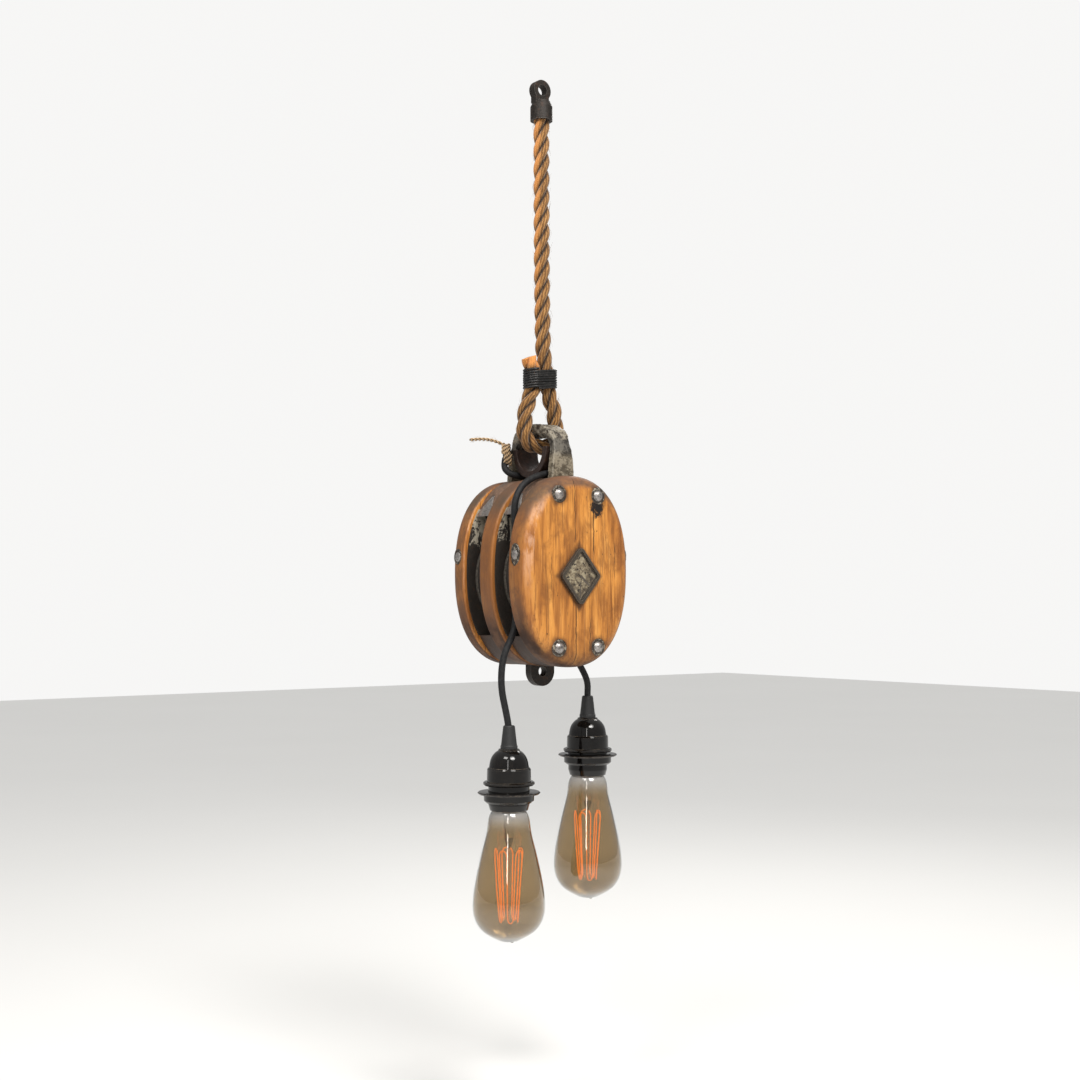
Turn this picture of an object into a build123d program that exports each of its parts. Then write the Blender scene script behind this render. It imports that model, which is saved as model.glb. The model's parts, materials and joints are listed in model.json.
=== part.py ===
from build123d import *
import os
from math import atan2, cos, degrees, pi, radians, sin, tan

# Double sheave block on an eyed rope, carrying two cord-hung lamps.  Millimetres.
# The model is drawn about the middle of the wooden shell: X across the sheaves, Y along the sheave
# pin (the near cheek is at -Y), Z up.  finished() then moves it so that the origin is the centre of
# the hole in the rope socket, from which the whole thing hangs.
HANG_Z = 449.0            # the hole in the rope socket, above the middle of the shell

# --- wooden shell ---
SHELL_HALF_W = 62.0
SHELL_HALF_H = 86.0
SHELL_POWER = 2.3         # 2 is an ellipse, more is squarer
CHOCK_HALF_W = 54.5       # the chocks are narrower than the cheeks, which leaves a lead for the rope
CHOCK_HALF_H = 85.8
CHEEK_OUT_Y = 58.0
CHEEK_IN_Y = 35.0
PARTITION_HALF_T = 9.5
CHEEK_ROUND = 14.0
EDGE_ROUND = 2.5
SWALLOW_HALF_H = 58.0     # the sheave openings run from -58 to +58
SWALLOW_Y = (CHEEK_IN_Y + PARTITION_HALF_T) / 2

# --- ironwork ---
STRAP_T = 5.0
STRAP_HALF_W = 12.5
STRAP_TOP_Z = 76.0
STRAP_END_Z = -34.0
LINER_T = 1.5
LINER_INSET = 4.0         # the liners stop short of the shell's edge
GABLE_T = 1.8             # the gabled swallow plates
GABLE_HALF_W = 11.0
GABLE_LOW_Z = 51.0
GABLE_EAVES_Z = 53.0
GABLE_TOP_Z = 70.0
PIN_Z = -4.5
PIN_R = 9.5
BAIL_OUT_Y = 35.0
BAIL_T = 7.0
CROWN_AXIS_Z = 133.5      # the block swings about this line, where the rope bears on the crown
CROWN_R = 10.2
SADDLE_R = 25.5
SADDLE_T = 6.0
SADDLE_Z = 112.0
BECKET_HALF_W = 13.5
BECKET_HALF_T = 4.0
BECKET_TOP_Z = 24.0
BECKET_END_Z = -104.5
BECKET_HOLE_Z = -91.0
BECKET_HOLE_R = 4.5
RIVET_X = 22.0
RIVET_Z = 68.0
RIVET_R = 4.0
RIVET_HEAD_R = 5.0
RIVET_HEAD_H = 3.0
WASHER_R = 7.8
WASHER_T = 1.8
WASHER_SEAT_Y = 56.2      # the washers sit in shallow pockets in the cheeks
SIDE_RIVET_Y = 44.5
SIDE_RIVET_Z = 14.0
SIDE_RIVET_R = 3.0
SIDE_HEAD_R = 4.4
SIDE_HEAD_H = 1.8
SIDE_WASHER_T = 1.8
SIDE_WASHER_SEAT_X = 59.6
SIDE_WASHER_HALF_W = 6.2
NEAR_WASHER_HALF_H = 10.0
FAR_WASHER_HALF_H = 7.4
PLATE_W = 45.0
PLATE_H = 54.0
PLATE_BASE_T = 2.0
PLATE_RIM_T = 3.6
PLATE_RIM_W = 3.2
PLATE_BOSS_R = 6.0
PLATE_BOSS_H = 0.6

# --- sheaves ---
SHEAVE_R = 50.0
SHEAVE_HALF_T = 10.0
GROOVE_R = 8.5
GROOVE_BOTTOM_R = 44.3
HUB_R = 17.0
HUB_HALF_T = 10.6
WEB_HALF_T = 5.0
WEB_OUT_R = 37.0
BUSH_R = 12.5
RUNNING_GAP = 0.05

# --- rope, flex and twine ---
ROPE_R = 7.5
ROPE_END_Z = 436.0
EYE_R = 18.1              # the eye's centre line round the crown
LEG_X = 7.7               # where the rope's two parts lie side by side in the seizing
SEIZING_LOW_Z = 168.0
SEIZING_H = 18.0
WIRE_D = 2.3
SOCKET_R = 10.4
SOCKET_LOW_Z = 421.0
LUG_HALF_T = 4.0
LUG_R = 9.6
LUG_HALF_W = 7.5
LUG_HOLE_R = 5.0
FLEX_R = 3.0
TWINE_R = 1.6
TWINE_WALL = 1.6          # the lashing stands for several turns of twine
LASHING_X = (-23.4, 14.2)
LASHING_Y = (16.6, 46.4)
LASHING_Z = (107.0, 114.0)
BALL_GAP = 0.4            # between a hanging flex's round top and the end of the held flex

# --- lampholders and bulbs, measured down from the top of the holder's cap ---
LAMP_A = (-53.5, -25.5, -157.0)
LAMP_B = (60.0, 5.0, -136.5)
GRIP_H = 20.5
CAP_H = 16.5
SKIRT_END = -28.5
HOLDER_END = -53.5
BODY_R = 18.3
RING_GAP = 0.3
RING_TOP_A = -37.0
RING_TOP_B = -33.4
BULB_CAP_R = 13.0
THREAD_PITCH = 3.6
GLASS_T = 1.0
STEM_TIP_Z = -152.0
CAGE_TOP = (12.5, -88.0)  # radius and height of the filament cage's upper ring
CAGE_BOTTOM = (8.5, -152.5)
STRANDS = 10
STRAND_R = 0.45
BULB_OUTER = [
    (12.3, -50.5), (13.6, -52.4), (15.2, -54.6), (17.3, -58.6), (19.5, -71), (22.8, -85.5),
    (26.6, -101.5), (29.9, -117.5), (31.9, -133), (31.6, -143), (28.9, -151.5), (22.6, -159.4),
    (12.0, -165.8), (0.0, -168.0),
]

# Where each lamp's flex leaves the block: the hinge that stands for its bending.
PIVOT_A = (-58.0, -26.3, -70.0)
PIVOT_B = (60.0, 9.0, -96.0)

# The routes: hand-chosen points on the centre lines.
ROPE_ROUTE = [
    (1.7, 0, ROPE_END_Z), (1.7, 0, 209), (LEG_X, 0, 185), (LEG_X, 0, 169), (EYE_R, 0, 147),
    (EYE_R, 0, CROWN_AXIS_Z - EYE_R), (-EYE_R, 0, CROWN_AXIS_Z - EYE_R),
    (-EYE_R, 0, 147), (-LEG_X, 0, 169), (-LEG_X, 0, 185), (-12.8, 0, 198),
]
FLEX_A_HELD = [
    (-18, 31, 112.5), (-12.5, 38, 109.5), (-2, 41.5, 105.5), (12, 40, 101.5), (23.5, 31.5, 99),
    (30.5, 18, 97), (31.5, 2, 95), (24, -13, 92.4), (9, -21.3, 90.3), (-9.8, -22.3, 89.6),
    (-28, -25, 84), (-40.5, -27.5, 77), (-48.8, -29, 66), (-51.9, -28.6, 53), (-48.8, -24.8, 34),
    (-47.7, -22.6, 13), (-47.7, -22.4, -12), (-46.3, -22.8, -34), (-48.0, -24.4, -52.5), PIVOT_A,
]
FLEX_A_DROP = [
    PIVOT_A, (-61.4, -25.8, -83), (-61.6, -25.5, -98), (-59, -25.5, -112.5), (-53.5, -25.5, -127.5),
    (-53.5, -25.5, -148),
]
FLEX_B_HELD = [
    (-18, 31.8, 106.5), (-20.3, 29.8, 98.5), (-18.4, 24.8, 92.4), (-10.5, 21.3, 89.8),
    (2, 21.6, 89.5), (14, 22.3, 88.6), (27, 24, 84.6), (39.5, 26.5, 77.2), (48.6, 28.5, 66),
    (51.7, 28.6, 53), (49.4, 24.5, 30), (47.8, 22.6, 5), (47.9, 22.4, -20), (47.3, 23, -44), (50.2, 20, -66),
    (54.5, 14.5, -82), PIVOT_B,
]
FLEX_B_DROP = [PIVOT_B, (61.4, 6.3, -104.5), (60, 5, -113), (60, 5, -128)]
TWINE_TAIL = [
    (-25.1, 32.5, 112), (-27, 32.5, 117.5), (-34, 32, 122.4), (-45, 31, 123.2), (-57, 30, 121.4),
]


def facing_front(y):
    """A plane with local x along X and local y along Z; extrusions from it go towards -Y."""
    return Plane(origin=(0, y, 0), x_dir=(1, 0, 0), z_dir=(0, -1, 0))


def facing_side(x):
    """A plane with local x along Y and local y along Z; extrusions from it go towards +X."""
    return Plane(origin=(x, 0, 0), x_dir=(0, 1, 0), z_dir=(1, 0, 0))


def rod_y(x, z, radius, y0, y1):
    """A round bar along Y."""
    return Pos(x, (y0 + y1) / 2, z) * Rot(90, 0, 0) * Cylinder(radius, y1 - y0)


def rod_x(y, z, radius, x0, x1):
    """A round bar along X."""
    return Pos((x0 + x1) / 2, y, z) * Rot(0, 90, 0) * Cylinder(radius, x1 - x0)


def block_between(x0, x1, y0, y1, z0, z1):
    centre = Pos((x0 + x1) / 2, (y0 + y1) / 2, (z0 + z1) / 2)
    return centre * Box(x1 - x0, y1 - y0, z1 - z0)


def superellipse(half_w, half_h, count=32):
    """The shell's outline, as one smooth closed curve."""
    points = []
    for i in range(count):
        c = cos(2 * pi * i / count)
        s = sin(2 * pi * i / count)
        x = half_w * (1 if c > 0 else -1) * abs(c) ** (2 / SHELL_POWER)
        z = half_h * (1 if s > 0 else -1) * abs(s) ** (2 / SHELL_POWER)
        points.append((x, z))
    return make_face(Spline(*points, periodic=True))


def slab(face, y0, y1):
    """A flat outline as a slab from y0 to y1."""
    return extrude(facing_front(y1) * face, y1 - y0)


def edges_at_y(shape, y):
    return [e for e in shape.edges() if abs(e.center().Y - y) < 0.01]


def lathe(points, at=(0, 0, 0)):
    """A turned solid from (radius, z) corners."""
    profile = Plane.XZ * make_face(Polyline(*points, close=True))
    return Pos(*at) * revolve(profile, Axis.Z)


def tube(route, radius, name, tight=None):
    """A round cord: straight runs joined by arcs as large as the runs allow."""
    tight = tight or {}
    points = [Vector(*p) for p in route]
    radii = []
    for i in range(1, len(points) - 1):
        before = points[i] - points[i - 1]
        after = points[i + 1] - points[i]
        turn = radians(before.get_angle(after))
        shorter = min(before.length, after.length)
        radii.append(tight.get(i, 0.45 * shorter / tan(turn / 2)))
    path = FilletPolyline(*points, radius=radii)
    cord = sweep(Plane(origin=path @ 0, z_dir=path % 0) * Circle(radius), path=path)
    expected = pi * radius**2 * path.length
    print(
        f"{name}: {path.length:.1f} long, volume {cord.volume / expected:.3f} of section x length, "
        f"radii {[round(r, 1) for r in radii]}"
    )
    return cord


# ---------------------------------------------------------------- the wooden shell
def cheek(side):
    """An outer cheek: side is -1 for the near one and +1 for the far one."""
    low, high = sorted((side * CHEEK_IN_Y, side * CHEEK_OUT_Y))
    body = slab(superellipse(SHELL_HALF_W, SHELL_HALF_H), low, high)
    body = fillet(edges_at_y(body, side * CHEEK_OUT_Y), CHEEK_ROUND)
    body = fillet(edges_at_y(body, side * CHEEK_IN_Y), EDGE_ROUND)
    strap_low, strap_high = sorted((side * CHEEK_IN_Y, side * (CHEEK_IN_Y + STRAP_T)))
    body -= block_between(-STRAP_HALF_W, STRAP_HALF_W, strap_low, strap_high, STRAP_END_Z, STRAP_TOP_Z)
    body -= rod_y(0, PIN_Z, PIN_R, -CHEEK_OUT_Y, CHEEK_OUT_Y)
    for x, z in rivet_places():
        body -= rod_y(x, z, RIVET_R, -CHEEK_OUT_Y, CHEEK_OUT_Y)
        pocket = sorted((side * WASHER_SEAT_Y, side * (CHEEK_OUT_Y + 4)))
        body -= rod_y(x, z, WASHER_R, *pocket)
    body -= rod_x(side * SIDE_RIVET_Y, SIDE_RIVET_Z, SIDE_RIVET_R, -SHELL_HALF_W, SHELL_HALF_W)
    for end in (-1, 1):
        body -= side_washer(side, end)
        body -= Pos(end * SIDE_WASHER_T, 0, 0) * side_washer(side, end)
    return body


def partition():
    """The middle wall between the two sheaves, slotted for the becket strap."""
    body = slab(superellipse(SHELL_HALF_W, SHELL_HALF_H), -PARTITION_HALF_T, PARTITION_HALF_T)
    body = fillet(edges_at_y(body, PARTITION_HALF_T), EDGE_ROUND)
    body = fillet(edges_at_y(body, -PARTITION_HALF_T), EDGE_ROUND)
    body -= block_between(
        -BECKET_HALF_W, BECKET_HALF_W, -BECKET_HALF_T, BECKET_HALF_T, -SHELL_HALF_H - 1, BECKET_TOP_Z
    )
    body -= rod_y(0, PIN_Z, PIN_R, -PARTITION_HALF_T, PARTITION_HALF_T)
    for x, z in rivet_places():
        body -= rod_y(x, z, RIVET_R, -PARTITION_HALF_T, PARTITION_HALF_T)
    return body


def chock(side, end):
    """A filling piece above (end +1) or below (end -1) a sheave."""
    low, high = sorted((side * PARTITION_HALF_T, side * CHEEK_IN_Y))
    body = slab(superellipse(CHOCK_HALF_W, CHOCK_HALF_H), low, high)
    z_low, z_high = sorted((end * SWALLOW_HALF_H, end * (SHELL_HALF_H + 1)))
    body &= block_between(-SHELL_HALF_W, SHELL_HALF_W, low, high, z_low, z_high)
    for x, z in rivet_places():
        body -= rod_y(x, z, RIVET_R, low, high)
    if end > 0:
        leg_low, leg_high = sorted((side * (BAIL_OUT_Y - BAIL_T), side * BAIL_OUT_Y))
        body -= block_between(
            -STRAP_HALF_W, STRAP_HALF_W, leg_low, leg_high, SWALLOW_HALF_H, SHELL_HALF_H + 1
        )
    return body


# ---------------------------------------------------------------- ironwork on the shell


def rivet_places():
    return [(sx * RIVET_X, sz * RIVET_Z) for sx in (-1, 1) for sz in (-1, 1)]


def bail():
    """The forged bow: two legs let into the shell and a crown that the rope's eye bears on."""
    base = SWALLOW_HALF_H
    outer = [
        (-BAIL_OUT_Y, base), (-BAIL_OUT_Y, 110), (-31.5, 121), (-25.5, 129.5), (-13, 135.2),
        (0, 136.3), (13, 135.2), (25.5, 129.5), (31.5, 121), (BAIL_OUT_Y, 110), (BAIL_OUT_Y, base),
    ]
    inner_y = BAIL_OUT_Y - BAIL_T
    inner = [
        (-inner_y, base - 1), (-inner_y, 110), (-24.8, 118), (-19.5, 124.4), (-9, 128),
        (9, 128), (19.5, 124.4), (24.8, 118), (inner_y, 110), (inner_y, base - 1),
    ]
    front = [
        (STRAP_HALF_W, base - 1), (STRAP_HALF_W, 86), (11.6, 98), (8.8, 117), (9.0, 121),
        (CROWN_R, 124.5), (CROWN_R, CROWN_AXIS_Z), (9.6, 137),
    ]
    front = front + [(-x, z) for x, z in reversed(front)]
    width = 2 * STRAP_HALF_W + 2
    filled = extrude(facing_side(-width / 2) * make_face(Polyline(*outer, close=True)), width)
    hollow = extrude(facing_side(-width / 2) * make_face(Polyline(*inner, close=True)), width)
    crown = rod_y(0, CROWN_AXIS_Z, CROWN_R, -9.5, 9.5)
    around_rope = block_between(-14, 14, -9.5, 9.5, 115, CROWN_AXIS_Z) - crown
    shape = slab(make_face(Polyline(*front, close=True)), -BAIL_OUT_Y - 1, BAIL_OUT_Y + 1)
    return (((filled - hollow) & shape) - around_rope) + (crown & filled & shape)


def saddle():
    """The U-shaped bearing plate that rests on the shell between the bail's legs."""
    half_w = STRAP_HALF_W - 0.2
    ring = Circle(SADDLE_R) - Circle(SADDLE_R - SADDLE_T)
    ring = extrude(facing_side(-half_w) * Pos(0, SADDLE_Z) * ring, 2 * half_w)
    low = SADDLE_Z - SADDLE_R - 1
    keep = block_between(-half_w, half_w, -SADDLE_R - 1, SADDLE_R + 1, low, SADDLE_Z + 2)
    return ring & keep


def strap(side):
    """An inner strap that carries the pin's load up to the bail."""
    low, high = sorted((side * CHEEK_IN_Y, side * (CHEEK_IN_Y + STRAP_T)))
    body = block_between(-STRAP_HALF_W, STRAP_HALF_W, low, high, STRAP_END_Z, STRAP_TOP_Z)
    return body - rod_y(0, PIN_Z, PIN_R, low, high)


def becket():
    """The middle strap, which ends below the shell in a rounded eye."""
    eye_z = BECKET_END_Z + BECKET_HALF_W
    body = block_between(
        -BECKET_HALF_W, BECKET_HALF_W, -BECKET_HALF_T, BECKET_HALF_T, eye_z, BECKET_TOP_Z
    )
    body += rod_y(0, eye_z, BECKET_HALF_W, -BECKET_HALF_T, BECKET_HALF_T)
    body -= rod_y(0, BECKET_HOLE_Z, BECKET_HOLE_R, -BECKET_HALF_T, BECKET_HALF_T)
    return body - rod_y(0, PIN_Z, PIN_R, -BECKET_HALF_T, BECKET_HALF_T)


def swallow_liners(side):
    """Thin iron plates on both walls of one swallow."""
    solids = []
    for y_wall, inward in ((side * PARTITION_HALF_T, side), (side * CHEEK_IN_Y, -side)):
        low, high = sorted((y_wall, y_wall + inward * LINER_T))
        outline = superellipse(SHELL_HALF_W - LINER_INSET, SHELL_HALF_H - LINER_INSET)
        plate = slab(outline, low, high)
        plate &= block_between(
            -SHELL_HALF_W, SHELL_HALF_W, low, high, -SWALLOW_HALF_H, SWALLOW_HALF_H
        )
        solids.append(plate - rod_y(0, PIN_Z, PIN_R, low, high))
    return solids


def swallow_plates(side):
    """Gabled iron plates on the chock's shoulders, at both mouths of one swallow."""
    mid = side * SWALLOW_Y
    left, right = mid - GABLE_HALF_W, mid + GABLE_HALF_W
    gable = [
        (left, GABLE_LOW_Z), (right, GABLE_LOW_Z), (right, GABLE_EAVES_Z), (mid, GABLE_TOP_Z),
        (left, GABLE_EAVES_Z),
    ]
    low, high = sorted((side * PARTITION_HALF_T, side * CHEEK_IN_Y))
    skin = slab(superellipse(CHOCK_HALF_W + GABLE_T, CHOCK_HALF_H + 0.4), low, high)
    skin -= slab(superellipse(CHOCK_HALF_W, CHOCK_HALF_H), low, high)
    profile = make_face(Polyline(*gable, close=True))
    prism = extrude(facing_side(-SHELL_HALF_W) * profile, 2 * SHELL_HALF_W)
    return (skin & prism).solids()


def pin_plate(side):
    """A lozenge cover over the pin's end, with a raised rim."""
    def lozenge(inset):
        w = PLATE_W / 2 - inset
        h = PLATE_H / 2 - inset * PLATE_H / PLATE_W
        corners = Polyline((w, 0), (0, h), (-w, 0), (0, -h), close=True)
        face = make_face(corners)
        return fillet(face.vertices(), 4.0 if inset == 0 else 2.5)
    y0 = side * CHEEK_OUT_Y
    base = slab(lozenge(0), *sorted((y0, y0 + side * PLATE_BASE_T)))
    rim = slab(lozenge(0) - lozenge(PLATE_RIM_W), *sorted((y0, y0 + side * PLATE_RIM_T)))
    boss = rod_y(0, 0, PLATE_BOSS_R, *sorted((y0, y0 + side * (PLATE_BASE_T + PLATE_BOSS_H))))
    return Pos(0, 0, PIN_Z) * (base + rim + boss)


def dome(radius, height):
    """A low rivet head, standing on z = 0."""
    ball_r = (radius**2 + height**2) / (2 * height)
    ball = Pos(0, 0, height - ball_r) * Sphere(ball_r)
    return ball & (Pos(0, 0, height) * Box(4 * radius, 4 * radius, 2 * height))


def shell_rivets():
    """The four rivets that hold the shell together, domed at both ends."""
    solids = []
    seat = WASHER_SEAT_Y + WASHER_T
    for x, z in rivet_places():
        rivet = rod_y(x, z, RIVET_R, -seat, seat)
        for side in (-1, 1):
            head = Rot(side * -90, 0, 0) * dome(RIVET_HEAD_R, RIVET_HEAD_H)
            rivet += Pos(x, side * seat, z) * head
        solids.append(rivet)
    return solids


def shell_washers():
    solids = []
    for x, z in rivet_places():
        for side in (-1, 1):
            low, high = sorted((side * WASHER_SEAT_Y, side * (WASHER_SEAT_Y + WASHER_T)))
            washer = rod_y(x, z, WASHER_R, low, high) - rod_y(x, z, RIVET_R, low, high)
            solids.append(washer)
    return solids


def side_washer(side, end):
    """An oval washer on one edge of a cheek, without its hole."""
    half_h = NEAR_WASHER_HALF_H if side < 0 else FAR_WASHER_HALF_H
    ellipse = Ellipse(SIDE_WASHER_HALF_W, half_h)
    oval = facing_side(0) * Pos(side * SIDE_RIVET_Y, SIDE_RIVET_Z) * ellipse
    body = extrude(oval, SIDE_WASHER_T)
    x = SIDE_WASHER_SEAT_X if end > 0 else -SIDE_WASHER_SEAT_X - SIDE_WASHER_T
    return Pos(x, 0, 0) * body


def side_washers():
    hole = SHELL_HALF_W + 5
    solids = []
    for side in (-1, 1):
        bore = rod_x(side * SIDE_RIVET_Y, SIDE_RIVET_Z, SIDE_RIVET_R, -hole, hole)
        solids += [side_washer(side, end) - bore for end in (-1, 1)]
    return solids


def side_rivets():
    """One rivet across each cheek, which keeps the wood from splitting."""
    seat = SIDE_WASHER_SEAT_X + SIDE_WASHER_T
    solids = []
    for side in (-1, 1):
        y = side * SIDE_RIVET_Y
        rivet = rod_x(y, SIDE_RIVET_Z, SIDE_RIVET_R, -seat, seat)
        for end in (-1, 1):
            head = Rot(0, end * 90, 0) * dome(SIDE_HEAD_R, SIDE_HEAD_H)
            rivet += Pos(end * seat, y, SIDE_RIVET_Z) * head
        solids.append(rivet)
    return solids


# ---------------------------------------------------------------- sheaves
def sheave(side):
    """A cast wheel with a rope groove, a thin web and a hub."""
    axis_r = GROOVE_BOTTOM_R + GROOVE_R
    rim_z = (GROOVE_R**2 - (axis_r - SHEAVE_R) ** 2) ** 0.5
    half = [(BUSH_R, HUB_HALF_T), (HUB_R, HUB_HALF_T), (HUB_R + 2, WEB_HALF_T)]
    half += [(WEB_OUT_R - 3, WEB_HALF_T), (WEB_OUT_R, SHEAVE_HALF_T), (SHEAVE_R, SHEAVE_HALF_T)]
    top = Polyline(*half, (SHEAVE_R, rim_z))
    groove = ThreePointArc((SHEAVE_R, rim_z), (GROOVE_BOTTOM_R, 0), (SHEAVE_R, -rim_z))
    bottom = Polyline((SHEAVE_R, -rim_z), *[(r, -z) for r, z in reversed(half)])
    bore = Line((BUSH_R, -HUB_HALF_T), (BUSH_R, HUB_HALF_T))
    wheel = revolve(Plane.XZ * make_face([top, groove, bottom, bore]), Axis.Z)
    return Pos(0, side * SWALLOW_Y, PIN_Z) * Rot(90, 0, 0) * wheel


def bush(side):
    y = side * SWALLOW_Y
    low, high = y - HUB_HALF_T, y + HUB_HALF_T
    return rod_y(0, PIN_Z, BUSH_R, low, high) - rod_y(0, PIN_Z, PIN_R + RUNNING_GAP, low, high)


# ---------------------------------------------------------------- rope
def rope_socket():
    """The iron cup that closes the rope's upper end, with a drilled lug on top."""
    cup = lathe([
        (0, ROPE_END_Z), (ROPE_R + 0.1, ROPE_END_Z), (ROPE_R + 0.1, SOCKET_LOW_Z),
        (SOCKET_R, SOCKET_LOW_Z), (SOCKET_R, ROPE_END_Z - 2), (SOCKET_R - 2.5, ROPE_END_Z + 3.5),
        (0, ROPE_END_Z + 3.5),
    ], at=(ROPE_ROUTE[0][0], 0, 0))
    lug = rod_y(0, HANG_Z, LUG_R, -LUG_HALF_T, LUG_HALF_T)
    lug += block_between(-LUG_HALF_W, LUG_HALF_W, -LUG_HALF_T, LUG_HALF_T, ROPE_END_Z + 1, HANG_Z)
    lug -= rod_y(0, HANG_Z, LUG_HOLE_R, -LUG_HALF_T, LUG_HALF_T)
    return cup + lug


def rope():
    return tube(ROPE_ROUTE, ROPE_R, "rope", tight={5: EYE_R - 0.1, 6: EYE_R - 0.1})


def rope_seizing():
    """The wire whipping that holds the rope's tail against its standing part."""
    inner = SlotCenterToCenter(2 * LEG_X, 2 * (ROPE_R + RUNNING_GAP))
    outer = SlotCenterToCenter(2 * LEG_X, 2 * (ROPE_R + WIRE_D))
    return Pos(0, 0, SEIZING_LOW_Z) * extrude(outer - inner, SEIZING_H)


# ---------------------------------------------------------------- flex and twine
def flex_held(route, name):
    """The flex that lies in the block, cut square just short of the hanging flex's ball end."""
    last = Vector(*route[-1])
    before = Vector(*route[-2])
    back = (before - last).normalized()
    end = last + back * (FLEX_R + BALL_GAP)
    return tube(list(route[:-1]) + [tuple(end)], FLEX_R, name)


def flex_drop(route, name):
    """The flex from its bend below the block down into the lampholder's cord grip."""
    return tube(route, FLEX_R, name) + Pos(*route[0]) * Sphere(FLEX_R)


def twine_lashing():
    """The turns of twine round the bail's far leg and the two flexes."""
    (x0, x1), (y0, y1), (z0, z1) = LASHING_X, LASHING_Y, LASHING_Z
    inside = block_between(
        x0 + TWINE_WALL, x1 - TWINE_WALL, y0 + TWINE_WALL, y1 - TWINE_WALL, z0 - 1, z1 + 1
    )
    return block_between(x0, x1, y0, y1, z0, z1) - inside


# ---------------------------------------------------------------- lamps
def cord_grip(at):
    outline = [
        (FLEX_R + 0.1, -6), (5.0, -6), (5.0, 0), (7.6, 0), (7.6, 2.6), (7.1, 3.2),
        (5.2, GRIP_H - 0.8), (4.5, GRIP_H), (FLEX_R + 0.1, GRIP_H),
    ]
    return lathe(outline, at)


def holder_cap(at):
    """The domed bakelite cap."""
    outer = [(9.6, -1.4), (13.4, -4.4), (16.2, -9.0), (17.4, -14.0), (17.8, -CAP_H)]
    inner = [(15.6, -CAP_H), (15.2, -14.0), (14.0, -9.6), (11.6, -6.0), (8.0, -3.6)]
    top = [(5.1, 0), (8.8, 0)]
    edge = [
        Polyline(*top, (9.6, -0.8), outer[0]),
        Spline(*outer),
        Line(outer[-1], inner[0]),
        Spline(*inner),
        Polyline(inner[-1], (5.1, -3.2), top[0]),
    ]
    return Pos(*at) * revolve(Plane.XZ * make_face(edge), Axis.Z)


def holder_body(at):
    """The bakelite body: a skirt, and a threaded neck that the two rings screw onto."""
    mouth = 15.7
    outline = [
        (14.6, -CAP_H), (18.4, -CAP_H), (19.4, -CAP_H - 1.4), (19.6, SKIRT_END), (BODY_R, SKIRT_END),
        (BODY_R, -48.5), (16.9, HOLDER_END), (mouth, HOLDER_END), (mouth, -48), (14.6, -47.2),
    ]
    return lathe(outline, at)


def upper_ring(at):
    top = SKIRT_END - 0.1
    outline = [
        (BODY_R + 0.05, top), (21.8, top), (22.8, top - 0.8), (22.8, top - 2.2), (21.9, top - 3.2),
        (BODY_R + 0.05, top - 3.2),
    ]
    return lathe(outline, at)


def shade_ring(at, top):
    """The ring that clamps a shade: a thin flange on a short skirt."""
    bore = BODY_R + RING_GAP
    outline = [
        (bore, top), (22.4, top), (27.0, top - 0.5), (27.8, top - 1.4), (27.0, top - 2.4),
        (22.4, top - 3.0), (22.2, top - 8.2), (20.4, top - 10), (bore, top - 10),
    ]
    return lathe(outline, at)


def contact_insert(at):
    """The insulating disc with the middle contact."""
    outline = [(0, -19.5), (14.5, -19.5), (14.5, -24), (4.2, -24), (4.2, -26.4), (0, -26.4)]
    return lathe(outline, at)


def thread_shell(at):
    outline = [(13.7, -24.1), (14.5, -24.1), (14.5, -47), (13.7, -47)]
    return lathe(outline, at)


def bulb_glass(at):
    """The teardrop envelope, a thin shell open into the cap."""
    inner = [(r - GLASS_T, z) for r, z in BULB_OUTER[:10]]
    inner += [(28.0, -151.0), (21.9, -158.6), (11.6, -164.8), (0.0, -167.0)]
    edge = [
        Spline(*BULB_OUTER, tangents=((0.5, -1), (-1, 0))),
        Line(BULB_OUTER[-1], inner[-1]),
        Spline(*reversed(inner), tangents=((1, 0), (-0.5, 1))),
        Line(inner[0], BULB_OUTER[0]),
    ]
    envelope = revolve(Plane.XZ * make_face(edge), Axis.Z)
    tip = Pos(3.5, 0, -168.6) * Sphere(1.6)
    hollow = Pos(0, 0, -160) * Cylinder(9, 12.6)
    return Pos(*at) * (envelope + (tip - hollow))


def bulb_cap(at):
    """The screw cap, with the ridges of its thread."""
    outline = [(12.4, -52.0), (BULB_CAP_R - 0.4, -52.0)]
    z = -50.0
    while z < -33.0:
        outline += [(BULB_CAP_R - 0.9, z), (BULB_CAP_R, z + THREAD_PITCH / 2)]
        z += THREAD_PITCH
    outline += [(BULB_CAP_R - 1.2, -31.0), (6.0, -28.6), (5.4, -29.4), (11.2, -31.6), (11.4, -49.9)]
    outline += [(12.4, -50.3)]
    return lathe(outline, at)


def bulb_contact(at):
    outline = [(0, -26.6), (3.6, -26.9), (4.4, -27.6), (5.3, -28.4), (5.3, -30.0), (0, -30.0)]
    return lathe(outline, at)


def bulb_stem(at):
    """The glass stem and rod that carry the filament."""
    outline = [
        (0, -49), (11.2, -49), (11.2, -50.2), (6.5, -55), (4.6, -62), (4.2, -78), (2.6, -84),
        (1.2, -87), (1.0, STEM_TIP_Z), (0, STEM_TIP_Z - 1),
    ]
    return lathe(outline, at)


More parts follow.
